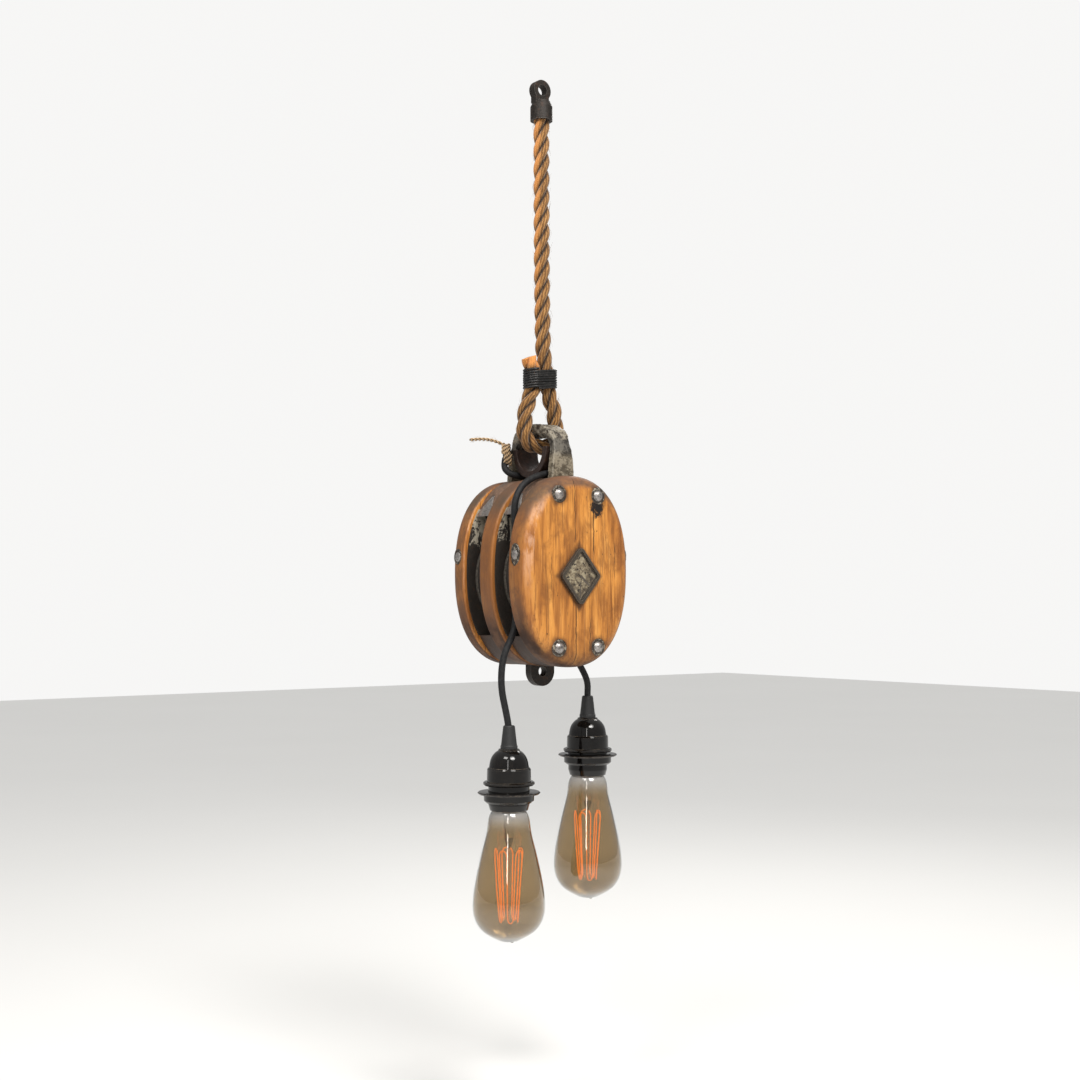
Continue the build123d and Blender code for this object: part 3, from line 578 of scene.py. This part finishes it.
def liner_iron():
    """The swallow liners: black iron with cream paint only high up near their outer edges; lower and deeper
    in, the bare black stands partly for painted shade.
    """
    s = Shader("liner_iron")
    x, _, z = s.axes(s.place)
    mottle = s.noise(0.0018, detail=6, roughness=0.65)
    metal = s.mix(mottle, (0.006, 0.005, 0.004), (0.034, 0.026, 0.020))
    rust = s.band(s.noise(0.006, detail=5, roughness=0.7, seed=9.0), 0.54, 0.70)
    metal = s.mix(s.times(rust, 0.6), metal, (0.060, 0.026, 0.012))
    # Painted shade: paint is kept to the upper outer corners, so the rest stays black as if in shade.
    high = s.times(s.band(z, 0.000, 0.034), s.band(s.absolute(x), 0.018, 0.036))
    patches = s.noise(0.010, (1, 1, 1.8), 7, 0.72, 0.9, 5.0)
    painted = s.band(s.plus(patches, s.between(high, -0.35, 0.03)), 0.50, 0.52)
    dirty = s.mix(s.noise(0.003, detail=5, roughness=0.7, seed=7.0), (0.13, 0.11, 0.08), (0.50, 0.45, 0.35))
    s.set(Base_Color=s.mix(painted, metal, dirty), Roughness=s.between(painted, 0.55, 0.75))
    s.set(Normal=s.bump(s.plus(mottle, painted), 0.0004, 0.8))
    return s.material


GROOVE_DIRECTION = (0.77, -0.64)    # which way the slanted groove runs, across and up


def pin_plate_iron():
    """The lozenge pin plates: a dark rubbed rim round a field of dirty cream paint with two cut grooves."""
    s = Shader("pin_plate_iron")
    x, _, z = s.axes(s.place)
    dz = s.minus(z, PLATE_Z)
    wander = s.noise(0.004, detail=5, roughness=0.7, seed=3.0)
    rim = s.band(s.plus(lozenge(s, x, dz), s.times(wander, 0.22)), 0.82, 0.92)
    mottle = s.noise(0.0016, detail=5, roughness=0.65)
    field = s.ramp(s.noise(0.0042, detail=6, roughness=0.7, distortion=0.5, seed=8.0),
                   (0.36, (0.034, 0.025, 0.017)), (0.49, (0.150, 0.115, 0.070)), (0.64, (0.34, 0.29, 0.195)))
    pits = s.band(s.noise(0.0030, detail=3, seed=14.0), 0.58, 0.64)
    field = s.mix(pits, field, (0.020, 0.014, 0.010))
    dark_x, dark_z = GROOVE_DIRECTION
    along = s.plus(s.times(x, dark_x), s.times(dz, dark_z))
    across = s.absolute(s.plus(s.times(x, -dark_z), s.times(dz, dark_x)))
    slanted = s.times(s.band(across, 0.0013, 0.0006), s.band(along, -0.0015, 0.0005))
    slanted = s.times(slanted, s.band(along, 0.0145, 0.0120))
    upright = s.times(s.band(s.absolute(x), 0.0009, 0.0003), s.band(dz, -0.004, -0.006))
    grooves = s.larger(slanted, s.times(upright, s.band(dz, -0.021, -0.019)))
    dark = s.mix(mottle, (0.028, 0.022, 0.017), (0.125, 0.102, 0.078))
    colour = s.mix(s.larger(rim, grooves), field, dark)
    colour = s.mix(s.times(s.worn_edge(0.0007, 0.02, 0.3), 0.45), colour, (0.40, 0.37, 0.31))
    height = s.minus(s.times(wander, 0.5), s.times(s.larger(pits, grooves), 0.9))
    s.set(Base_Color=colour, Roughness=s.between(rim, 0.62, 0.40), Metallic=s.between(rim, 0.05, 0.55))
    s.set(Normal=s.bump(height, 0.0007, 0.9))
    return s.material


def sheave_iron():
    """The sheaves: black in the groove and on the web, rubbed grey along the rims."""
    s = Shader("sheave_iron")
    x, _, z = s.axes(s.place)
    mottle = s.noise(0.002, detail=6, roughness=0.65)
    rim = s.band(s.away(x, s.minus(z, PLATE_Z)), SHEAVE_R - 0.0012, SHEAVE_R - 0.0003)
    rubbed = s.times(rim, s.between(s.band(mottle, 0.35, 0.6), 0.35, 1.0))
    metal = s.mix(mottle, (0.010, 0.008, 0.007), (0.050, 0.040, 0.032))
    colour = s.mix(s.times(rubbed, 0.8), metal, (0.30, 0.27, 0.23))
    s.set(Base_Color=colour, Roughness=s.between(mottle, 0.32, 0.58), Metallic=s.between(rubbed, 0.45, 0.85))
    s.set(Normal=s.bump(mottle, 0.0003, 0.7))
    return s.material


def plain_iron(name, colour, rough=0.5, metallic=0.7, edge_light=0.35, rust=0.4):
    """Bare or blackened iron with faint rust and rubbed edges."""
    s = Shader(name)
    mottle = s.noise(0.0018, detail=6, roughness=0.65)
    base = s.mix(s.band(mottle, 0.3, 0.7), [c * 0.55 for c in colour], [min(1, c * 1.45) for c in colour])
    rusty = s.band(s.noise(0.006, detail=6, roughness=0.7, seed=6.0), 0.50, 0.68)
    base = s.mix(s.times(rusty, rust), base, (0.085, 0.035, 0.017))
    base = s.mix(s.times(s.worn_edge(0.0008), edge_light), base, (0.42, 0.40, 0.37))
    s.set(Base_Color=base, Roughness=s.between(mottle, rough - 0.14, rough + 0.16), Metallic=metallic)
    s.set(Normal=s.bump(mottle, 0.0003, 0.7))
    return s.material


TAIL_DYE_Z = (0.186, 0.193)         # the colour comes in between these heights of the rope's tail
TAIL_DYE_X = (-0.002, -0.006)


def laid_fibre(name, dark, middle, light, waves, dyed_tip=None):
    """Rope or twine: fine fibres along each strand, with painted shade deep between the strands."""
    s = Shader(name)
    height = s.add("ShaderNodeAttribute", attribute_name="height").outputs["Fac"]
    u, v, _ = s.axes(s.add("ShaderNodeUVMap", uv_map="along").outputs[0])
    wander = s.times(s.noise(0.004, detail=3), 1.2)
    phase = s.plus(s.plus(s.times(u, 2 * math.pi * waves), s.times(v, 420.0)), s.times(wander, 6.0))
    lines = s.times(s.plus(s.sine(phase), 1.0), 0.5)
    fuzz = s.noise(0.0011, (1, 1, 5), 5, 0.7)
    tone = s.plus(s.times(lines, 0.35), s.times(fuzz, 0.65))
    colour = s.ramp(tone, (0.22, dark), (0.48, middle), (0.74, light))
    patches = s.band(s.noise(0.022, detail=3, seed=4.0), 0.42, 0.66)
    colour = s.mix(s.times(patches, 0.35), colour, [c * 0.62 for c in middle])
    # Painted shade: darker where the surface sinks between the strands.
    strand_gap_shade = s.band(height, 0.86, 0.62)
    colour = s.mix(s.times(strand_gap_shade, 0.88), colour, [c * 0.22 for c in dark])
    if dyed_tip:
        x, _, z = s.axes(s.place)
        tip = s.times(s.band(z, *TAIL_DYE_Z), s.band(x, *TAIL_DYE_X))
        colour = s.mix(s.times(tip, 0.75), colour, dyed_tip)
    s.set(Base_Color=colour, Roughness=0.78, Normal=s.bump(tone, 0.0005, 0.7))
    s.set(Sheen_Weight=0.25, Sheen_Roughness=0.5, Specular_IOR_Level=0.25)
    return s.material


def black_flex():
    """The lamp flex: black textile braid, seen as a fine crossed relief."""
    s = Shader("black_flex")
    u, v, _ = s.axes(s.add("ShaderNodeUVMap", uv_map="along").outputs[0])
    around = s.times(u, 2 * math.pi * 12)
    onward = s.times(v, 2 * math.pi * 520)
    one = s.sine(s.plus(around, onward))
    other = s.sine(s.minus(around, onward))
    braid = s.larger(one, other)
    dust = s.noise(0.004, detail=5, roughness=0.7)
    colour = s.mix(s.band(dust, 0.4, 0.75), (0.007, 0.007, 0.008), (0.020, 0.020, 0.020))
    s.set(Base_Color=colour, Roughness=s.between(dust, 0.48, 0.66), Normal=s.bump(braid, 0.00012, 0.5))
    s.set(Specular_IOR_Level=0.28)
    return s.material


def black_wire():
    """The seizing's tarred wire, with a soft shine."""
    s = Shader("black_wire")
    scuff = s.noise(0.003, detail=5, roughness=0.7)
    colour = s.mix(s.band(scuff, 0.45, 0.75), (0.006, 0.006, 0.006), (0.035, 0.031, 0.028))
    s.set(Base_Color=colour, Roughness=s.between(scuff, 0.25, 0.5), Normal=s.bump(scuff, 0.0002, 0.4))
    s.set(Specular_IOR_Level=0.35)
    return s.material


def bakelite():
    """Glossy black moulding with pale rims, partly wear and partly a painted reflection."""
    s = Shader("bakelite")
    dust = s.noise(0.006, detail=6, roughness=0.7)
    colour = s.mix(s.band(dust, 0.45, 0.8), (0.0040, 0.0034, 0.0031), (0.012, 0.010, 0.008))
    # Pale rims: partly wear, partly a painted reflection along the edges.
    worn = s.times(s.worn_edge(0.0005, 0.01, 0.16), s.band(s.noise(0.004, detail=4, seed=3.0), 0.35, 0.6))
    colour = s.mix(s.times(worn, 0.65), colour, (0.34, 0.27, 0.20))
    s.set(Base_Color=colour, Roughness=s.between(dust, 0.04, 0.12), Normal=s.bump(dust, 0.00006, 0.2))
    s.set(Coat_Weight=0.10, Coat_Roughness=0.03, Specular_IOR_Level=0.36)
    return s.material


def grip_plastic():
    """The cord grip's matt moulded plastic."""
    s = Shader("grip_plastic")
    grain = s.noise(0.0007, detail=4)
    worn = s.times(s.worn_edge(0.0006), 0.25)
    colour = s.mix(worn, s.mix(grain, (0.009, 0.009, 0.010), (0.020, 0.020, 0.020)), (0.12, 0.11, 0.10))
    s.set(Base_Color=colour, Roughness=s.between(grain, 0.42, 0.58), Normal=s.bump(grain, 0.0001, 0.5))
    return s.material


# The tops of the two lampholders' caps, from the middle of the shell, as in the CAD.
LAMP_PLACE = {"a": (-0.0535, -0.0255, -0.157), "b": (0.060, 0.005, -0.1365)}
BULB_DROP = 0.168    # from there down to about the bulb's tip


def amber_glass(letter):
    """A bulb's smoky amber envelope, darker at its tip and milky grey toward its neck."""
    s = Shader(f"amber_glass_{letter}")
    above_tip = s.minus(s.axes(s.place)[2], LAMP_PLACE[letter][2] - BULB_DROP)
    neck = s.band(above_tip, 0.094, 0.114)
    film = s.noise(0.030, detail=2, roughness=0.5)
    amber = s.mix(film, (0.53, 0.43, 0.285), (0.61, 0.50, 0.34))
    amber = s.mix(s.band(above_tip, 0.050, 0.004), amber, (0.42, 0.335, 0.21))
    colour = s.mix(neck, amber, (0.67, 0.66, 0.65))
    s.set(Base_Color=colour, Roughness=s.between(neck, 0.0, 0.18))
    s.set(Transmission_Weight=s.between(neck, 1.0, 0.75), IOR=1.5, Coat_Weight=1.0, Coat_Roughness=0.01)
    return s.material


def clear_glass():
    """Clear, faintly clouded glass."""
    s = Shader("clear_glass")
    film = s.noise(0.008, detail=3)
    s.set(Base_Color=s.mix(film, (0.86, 0.86, 0.84), (0.97, 0.97, 0.95)), Roughness=0.03)
    s.set(Transmission_Weight=1.0, IOR=1.5)
    return s.material


def glowing_filament():
    """The cage's strands, orange all the way, with a painted glow: they give off orange light though the
    lamps are not lit.
    """
    s = Shader("filament")
    flicker = s.noise(0.006, detail=3)
    colour = s.mix(flicker, (1.0, 0.25, 0.040), (1.0, 0.37, 0.085))
    # Painted glow: the strands emit their own orange light.
    s.set(Base_Color=colour, Roughness=0.5, Emission_Color=colour, Emission_Strength=1.25)
    return s.material


def turned_metal(name, colour, rough):
    """Brass or bronze with a turned finish and a little tarnish."""
    s = Shader(name)
    rings = s.noise(0.0008, (8, 8, 1), 4)
    tarnish = s.band(s.noise(0.006, detail=5, roughness=0.65), 0.45, 0.7)
    base = s.mix(s.times(tarnish, 0.6), colour, [c * 0.4 for c in colour])
    s.set(Base_Color=base, Metallic=1.0, Roughness=s.between(rings, rough - 0.1, rough + 0.12))
    s.set(Normal=s.bump(rings, 0.0001, 0.4))
    return s.material


def insulator():
    """Pale, slightly mottled porcelain."""
    s = Shader("insulator")
    grain = s.noise(0.002, detail=5)
    s.set(Base_Color=s.mix(grain, (0.55, 0.52, 0.46), (0.72, 0.70, 0.65)))
    s.set(Roughness=s.between(grain, 0.35, 0.6))
    return s.material


def pale_floor():
    """A pale matt floor."""
    s = Shader("floor")
    cloud = s.noise(0.6, detail=3)
    s.set(Base_Color=s.mix(cloud, (0.79, 0.79, 0.78), (0.82, 0.82, 0.81)), Roughness=0.85)
    return s.material


SLOTS = {
    "dark_iron": plain_iron("dark_iron", (0.020, 0.016, 0.013), 0.52, 0.5, 0.25),
    "worn_iron": plain_iron("worn_iron", (0.31, 0.29, 0.275), 0.38, 0.85, 0.4, 0.25),
    "painted_iron": chipped_iron("painted_iron", (0.060, 0.052, 0.043), (0.31, 0.27, 0.205), 0.62, 0.010,
                                 0.8, 0.045, 0.0024, shade_band=(0.1090, 0.1225)),
    "brown_iron": plain_iron("brown_iron", (0.028, 0.015, 0.011), 0.42, 0.30, 0.12, 0.5),
    "honey_wood": varnished_wood("honey_wood"),
    "red_wood": varnished_wood("red_wood", red=0.55, faces=False),
    "weathered_wood": weathered_wood(),
    "manila_rope": laid_fibre("manila_rope", (0.062, 0.025, 0.006), (0.185, 0.082, 0.020),
                              (0.39, 0.205, 0.064), 9, dyed_tip=(0.70, 0.28, 0.07)),
    "black_wire": black_wire(),
    "black_flex": black_flex(),
    "hemp_twine": laid_fibre("hemp_twine", (0.26, 0.15, 0.07), (0.50, 0.33, 0.17), (0.70, 0.52, 0.32), 5),
    "bronze": turned_metal("bronze", (0.50, 0.28, 0.11), 0.38),
    "brass": turned_metal("brass", (0.72, 0.52, 0.20), 0.32),
    "bakelite": bakelite(),
    "grip_plastic": grip_plastic(),
    "insulator": insulator(),
    "clear_glass": clear_glass(),
    "filament": glowing_filament(),
}
WASHER_IRON = chipped_iron("washer_iron", (0.050, 0.042, 0.035), (0.36, 0.31, 0.23), 0.34, 0.004, 0.35)
LINER_IRON = liner_iron()
PIN_PLATE_IRON = pin_plate_iron()
SHEAVE_IRON = sheave_iron()
OWN_SKIN = {
    "near_swallow_liners": LINER_IRON, "far_swallow_liners": LINER_IRON,
    "near_pin_plate": PIN_PLATE_IRON, "far_pin_plate": PIN_PLATE_IRON,
    "shell_washers": WASHER_IRON, "side_washers": WASHER_IRON,
    "near_sheave": SHEAVE_IRON, "far_sheave": SHEAVE_IRON,
    "bulb_glass_a": amber_glass("a"), "bulb_glass_b": amber_glass("b"),
}


def dress_nodes():
    """Gives every CAD node its own skin, or the material of its slot in the record."""
    for subpart in frame["record"]["subparts"]:
        node = subpart["node"]
        mesh = NODES[node].data
        mesh.materials.clear()
        mesh.materials.append(OWN_SKIN.get(node) or SLOTS[subpart["material_slot"]])


FORGED = {"bail": 0.0009, "bail_saddle": 0.0006, "shell_washers": 0.0005, "side_washers": 0.0005}
FORGE_VOXEL = 0.0006
DENT_SIZE = 0.006


def forge_nodes():
    """Gives the hand-forged iron an uneven surface, each node by its own depth."""
    for node, depth in FORGED.items():
        even = NODES[node].modifiers.new("even", "REMESH")
        even.mode = "VOXEL"
        even.voxel_size = FORGE_VOXEL
        even.use_smooth_shade = True
        dents = bpy.data.textures.new(f"dents_{node}", "CLOUDS")
        dents.noise_scale = DENT_SIZE
        dents.noise_depth = 2
        uneven = NODES[node].modifiers.new("uneven", "DISPLACE")
        uneven.texture = dents
        uneven.strength = depth
        uneven.mid_level = 0.5


# -------------------------------- rope and seizing
ROPE_STEP = 0.001
ROPE_LAY = 0.050
ROPE_FIBRES = 420


def rope():
    """The three-strand rope: down from its socket, round the bail's crown and up to its cut tail."""
    line = evenly(nurbs_line(placed(ROPE_ROUTE)), ROPE_STEP)
    skin = Skin()
    laid_strands(skin, line, ROPE_D / 2, strands=3, lay=ROPE_LAY, yarns=9)
    piece = skin.piece("laid_rope", SLOTS["manila_rope"])
    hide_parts("rope")
    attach(piece, "rope_line")
    hairs = Skin()
    loose_fibres(hairs, line, ROPE_D / 2, count=ROPE_FIBRES, length=0.0075, rand=random.Random(11))
    fuzz = hairs.piece("rope_fibres", SLOTS["manila_rope"])
    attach(fuzz, "rope_line")


SEIZING_TURNS = 8
SEIZING_LOW_Z = 0.1685
SEIZING_STEPS = 60      # points in one turn
SEIZING_SLOPE = 0.10    # the turns rise toward +X
SEIZING_WAVE = 0.00022
WIRE_STEP = 0.0007
LEG_X = 0.0077          # where the rope's two parts lie side by side


def round_both_parts(share, r):
    """(x, y) at a share of one turn of wire: flat in front and behind, round at both ends."""
    flat, bend = 2 * LEG_X, math.pi * r
    place = share * 2 * (flat + bend)
    if place < flat:
        return -LEG_X + place, -r
    if place < flat + bend:
        a = -math.pi / 2 + (place - flat) / r
        return LEG_X + r * math.cos(a), r * math.sin(a)
    if place < 2 * flat + bend:
        return LEG_X - (place - flat - bend), r
    a = math.pi / 2 + (place - 2 * flat - bend) / r
    return -LEG_X + r * math.cos(a), r * math.sin(a)


def seizing():
    """The black wire wound round both parts of the rope above the eye."""
    points = []
    for i in range(SEIZING_TURNS * SEIZING_STEPS + 1):
        turn = i / SEIZING_STEPS
        x, y = round_both_parts(turn % 1.0, ROPE_D / 2 + WIRE_D / 2)
        wave = SEIZING_WAVE * math.sin(turn * 5.1)
        z = SEIZING_LOW_Z + WIRE_D / 2 + turn * WIRE_D * 0.985 + SEIZING_SLOPE * x + wave
        points.append((x, y, z))
    line = evenly(placed(points), WIRE_STEP)
    skin = Skin()
    skin.tube(round_rings(line, WIRE_D / 2, 12), distances=[i * WIRE_STEP for i in range(len(line))])
    piece = skin.piece("wire_seizing", SLOTS["black_wire"])
    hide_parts("rope_seizing")
    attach(piece, "rope_line")


# -------------------------------- twine
TWINE_STEP = 0.0006
FINE_FIBRE_R = 0.00008
LASHING_CENTRE = (-0.0165, 0.0295, 0.110)
LASHING_HALF = (0.0062, 0.0092)     # level and upright half sizes of one turn
LASHING_LEVEL = (-0.602, -0.799)    # the turns' level direction, in X and Y
LASHING_APART = 0.0024              # from one turn to the next, square to that direction
LASHING_TURNS = 3
LASHING_STEPS = 20                  # points in one turn


def twine_lashing():
    """Three steep turns of two-strand twine that tie both flexes to the bail."""
    x, y, z = LASHING_CENTRE
    level_x, level_y = LASHING_LEVEL
    half_level, half_upright = LASHING_HALF
    points = []
    for i in range(LASHING_TURNS * LASHING_STEPS + 1):
        turn = i / LASHING_STEPS
        angle = 2 * math.pi * turn
        level = half_level * math.cos(angle) * (1 + 0.05 * math.sin(turn * 3.1))
        moved = LASHING_APART * (turn - LASHING_TURNS / 2)
        rise = half_upright * math.sin(angle) + 0.0006 * math.sin(turn * 4.3)
        side_x = level_x * level - level_y * moved
        side_y = level_y * level + level_x * moved
        points.append((x + side_x, y + side_y, z + rise))
    line = evenly(nurbs_line(placed(points)), TWINE_STEP)
    skin = Skin()
    laid_strands(skin, line, TWINE_D / 2, strands=2, lay=0.008, yarns=5, sides=16)
    loose_fibres(skin, line, TWINE_D / 2, count=60, length=0.004, rand=random.Random(3),
                 fibre_r=FINE_FIBRE_R)
    piece = skin.piece("twine_turns", SLOTS["hemp_twine"])
    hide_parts("twine_lashing")
    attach(piece, "block")


def twine_tail():
    """The twine's loose end, which stands stiffly out and has stray fibres."""
    line = evenly(nurbs_line(placed(TWINE_TAIL_ROUTE)), TWINE_STEP)
    skin = Skin()
    laid_strands(skin, line, TWINE_D / 2, strands=2, lay=0.009, yarns=5, sides=16)
    piece = skin.piece("twine_end", SLOTS["hemp_twine"])
    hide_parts("twine_tail")
    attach(piece, "block")
    hairs = Skin()
    loose_fibres(hairs, line, TWINE_D / 2, count=45, length=0.005, rand=random.Random(5),
                 fibre_r=FINE_FIBRE_R)
    fuzz = hairs.piece("twine_fibres", SLOTS["hemp_twine"])
    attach(fuzz, "block")


# -------------------------------- filaments
CAGE_ANGLES = (8, 37, 84, 113, 150, 190, 226, 263, 301, 333)
CAGE_TOP = (0.0124, -0.088)     # radius and height of the upper bends, from LAMP_PLACE
CAGE_BOTTOM = (0.0086, -0.1515)
CAGE_SHARES = (0.0, 0.25, 0.5, 0.75, 1.0)
STRAND_R = 0.00052
STRAND_SWAY = 0.0005
STRAND_STEP = 0.0009
HOOK_R = 0.00022
HOOK_SAG = 0.002
HOOK_TURN = math.radians(16)    # from a bend to its hook
HOOK_STEP = 0.0012


def cage_place(letter, radius, angle, height):
    """A point round the lamp's own axis, height above the top of its holder's cap."""
    x, y, z = LAMP_PLACE[letter]
    return x + radius * math.cos(angle), y + radius * math.sin(angle), z + height


def filament_cage(letter):
    """One zigzag strand down and up round the cage, and the wire hooks that hold its bends."""
    route, hooks = [], []
    angles = [math.radians(a) for a in CAGE_ANGLES]
    for i, angle in enumerate(angles + angles[:1]):
        (radius, height), (end_radius, end_height) = (
            (CAGE_TOP, CAGE_BOTTOM) if i % 2 == 0 else (CAGE_BOTTOM, CAGE_TOP))
        for share in CAGE_SHARES:
            sway = STRAND_SWAY * math.sin(5 * angle + 3 * share)
            route.append(cage_place(letter, radius + (end_radius - radius) * share + sway, angle,
                                    height + (end_height - height) * share))
    for i, angle in enumerate(angles):
        (radius, height), sag = (CAGE_BOTTOM, HOOK_SAG) if i % 2 == 0 else (CAGE_TOP, -HOOK_SAG)
        shape = ((0.0008, sag * 2), (radius * 0.6, sag * 1.6), (radius, 0.0))
        hooks.append([cage_place(letter, r, angle + HOOK_TURN, height + rise) for r, rise in shape])
    skin = Skin()
    line = evenly(nurbs_line(placed(route)), STRAND_STEP)
    skin.tube(round_rings(line, STRAND_R, 10))
    piece = skin.piece(f"filament_cage_{letter}", SLOTS["filament"])
    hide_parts(f"filament_{letter}")
    wires = Skin()
    for hook in hooks:
        wires.tube(round_rings(evenly(nurbs_line(placed(hook)), HOOK_STEP), HOOK_R, 6))
    held = wires.piece(f"filament_hooks_{letter}", SLOTS["clear_glass"])
    for each in (piece, held):
        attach(each, f"bulb_{letter}")


# -------------------------------- flexes
FLEX_STEP = 0.0008


def flex(letter, route):
    """One flex from its tie, down the block's side to its lampholder, through the point where the lamp
    swings.
    """
    line = evenly(nurbs_line(placed(route)), FLEX_STEP)
    skin = Skin()
    skin.tube(round_rings(line, FLEX_D / 2, 24), distances=[i * FLEX_STEP for i in range(len(line))])
    piece = skin.piece(f"lamp_flex_{letter}", SLOTS["black_flex"])
    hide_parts(f"flex_{letter}_held", f"flex_{letter}_drop")
    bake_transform(piece)


# -------------------------------- stage, light and camera
FLOOR_DROP = 0.16       # the floor lies this far below the bulbs
FLOOR_HALF = 6.0
WHITE_BEHIND = 0.93     # what the camera sees behind the object
ROOM_LOW = 0.22         # what lights the object from below
ROOM_HIGH = 0.55        # and from above


def stage():
    """A pale floor far below the hanging object, and the studio round it."""
    mesh = bpy.data.meshes.new("floor")
    z = CAD_LOW.z - FLOOR_DROP
    corners = [(x * FLOOR_HALF, y * FLOOR_HALF, z) for x, y in ((-1, -1), (1, -1), (1, 1), (-1, 1))]
    mesh.from_pydata(corners, [], [(0, 1, 2, 3)])
    mesh.materials.append(pale_floor())
    floor = bpy.data.objects.new("floor", mesh)
    bpy.context.scene.collection.objects.link(floor)
    bpy.context.scene.world = studio()
    bpy.context.scene.view_settings.view_transform = "Standard"


def studio():
    """White behind the object, and a dimmer room that is brighter above for everything it lights."""
    world = bpy.data.worlds.new("studio")
    world.use_nodes = True
    tree = world.node_tree
    direction = tree.nodes.new("ShaderNodeTexCoord").outputs["Generated"]
    split = tree.nodes.new("ShaderNodeSeparateXYZ")
    tree.links.new(direction, split.inputs[0])
    room = tree.nodes.new("ShaderNodeMapRange")
    span = {"From Min": -0.6, "From Max": 0.9, "To Min": ROOM_LOW, "To Max": ROOM_HIGH}
    for key, value in span.items():
        room.inputs[key].default_value = value
    tree.links.new(split.outputs["Z"], room.inputs["Value"])
    strength = tree.nodes.new("ShaderNodeMix")
    strength.inputs["B"].default_value = WHITE_BEHIND
    seen = tree.nodes.new("ShaderNodeLightPath").outputs["Is Camera Ray"]
    tree.links.new(room.outputs["Result"], strength.inputs["A"])
    tree.links.new(seen, strength.inputs["Factor"])
    tree.links.new(strength.outputs["Result"], tree.nodes["Background"].inputs["Strength"])
    tree.nodes["Background"].inputs["Color"].default_value = (1.0, 0.995, 0.985, 1.0)
    return world


LIGHT_DISTANCE = 1.5
WINDOW_SIZE = (0.55, 0.38)
LIGHTS = [  # name, degrees round from the front, degrees above level, width and height, power
    ("right_window", -8, 46, WINDOW_SIZE, 14),
    ("left_window", -66, 50, WINDOW_SIZE, 9),
    ("strip", -43, 18, (0.07, 0.9), 2.5),
    ("behind", 125, 35, WINDOW_SIZE, 6),
]
LIGHT_COLOUR = (1.0, 0.975, 0.94)
SKY_COLOUR = (1.0, 0.985, 0.96)
SKY_POWER = 1.15
SKY_WIDTH = math.radians(28)
SKY_FROM = (-4, 52)     # degrees round from the front, degrees above level


def toward(azimuth, rise):
    """The unit vector from the block to a light, at degrees round from the front and above level."""
    a, e = math.radians(azimuth), math.radians(rise)
    return Vector((math.sin(a) * math.cos(e), -math.cos(a) * math.cos(e), math.sin(e)))


def hang_light(data, place, aim):
    """Puts a light at a place, shining along aim."""
    lamp = bpy.data.objects.new(data.name, data)
    lamp.location = place
    lamp.rotation_mode = "QUATERNION"
    lamp.rotation_quaternion = aim.to_track_quat("-Z", "Y")
    bpy.context.scene.collection.objects.link(lamp)


def lights():
    """Four soft windows round the block and a broad soft sky over them."""
    centre = Vector((0, 0, SHELL_Z))
    for name, azimuth, rise, size, power in LIGHTS:
        data = bpy.data.lights.new(name, "AREA")
        data.shape = "RECTANGLE"
        data.size, data.size_y = size
        data.energy = power
        data.color = LIGHT_COLOUR
        away = toward(azimuth, rise)
        hang_light(data, centre + away * LIGHT_DISTANCE, -away)
    sky = bpy.data.lights.new("sky", "SUN")
    sky.energy = SKY_POWER
    sky.angle = SKY_WIDTH
    sky.color = SKY_COLOUR
    hang_light(sky, Vector(), -toward(*SKY_FROM))


CAMERA_DISTANCE = 1.400
CAMERA_AZIMUTH = math.radians(-37)
CAMERA_Z = -0.0266      # from the middle of the shell
CAMERA_PITCH = math.radians(2.30)
SENSOR_WIDTH = 36.0     # millimetres, as is the focal length
FOCAL_LENGTH = 50.6167


def camera():
    """The photograph's view: from the front left, a little below the shell's middle and looking up."""
    data = bpy.data.cameras.new("camera")
    data.sensor_width = SENSOR_WIDTH
    data.lens = FOCAL_LENGTH
    eye = bpy.data.objects.new("camera", data)
    back = Vector((math.sin(CAMERA_AZIMUTH), -math.cos(CAMERA_AZIMUTH), 0))
    eye.location = back * CAMERA_DISTANCE + Vector((0, 0, CAMERA_Z + SHELL_Z))
    eye.rotation_euler = (math.pi / 2 + CAMERA_PITCH, 0, CAMERA_AZIMUTH)
    bpy.context.scene.collection.objects.link(eye)
    bpy.context.scene.camera = eye


dress_nodes()
forge_nodes()
rope()
seizing()
twine_lashing()
twine_tail()
flex("a", FLEX_A_ROUTE)
flex("b", FLEX_B_ROUTE)
filament_cage("a")
filament_cage("b")
stage()
lights()
camera()
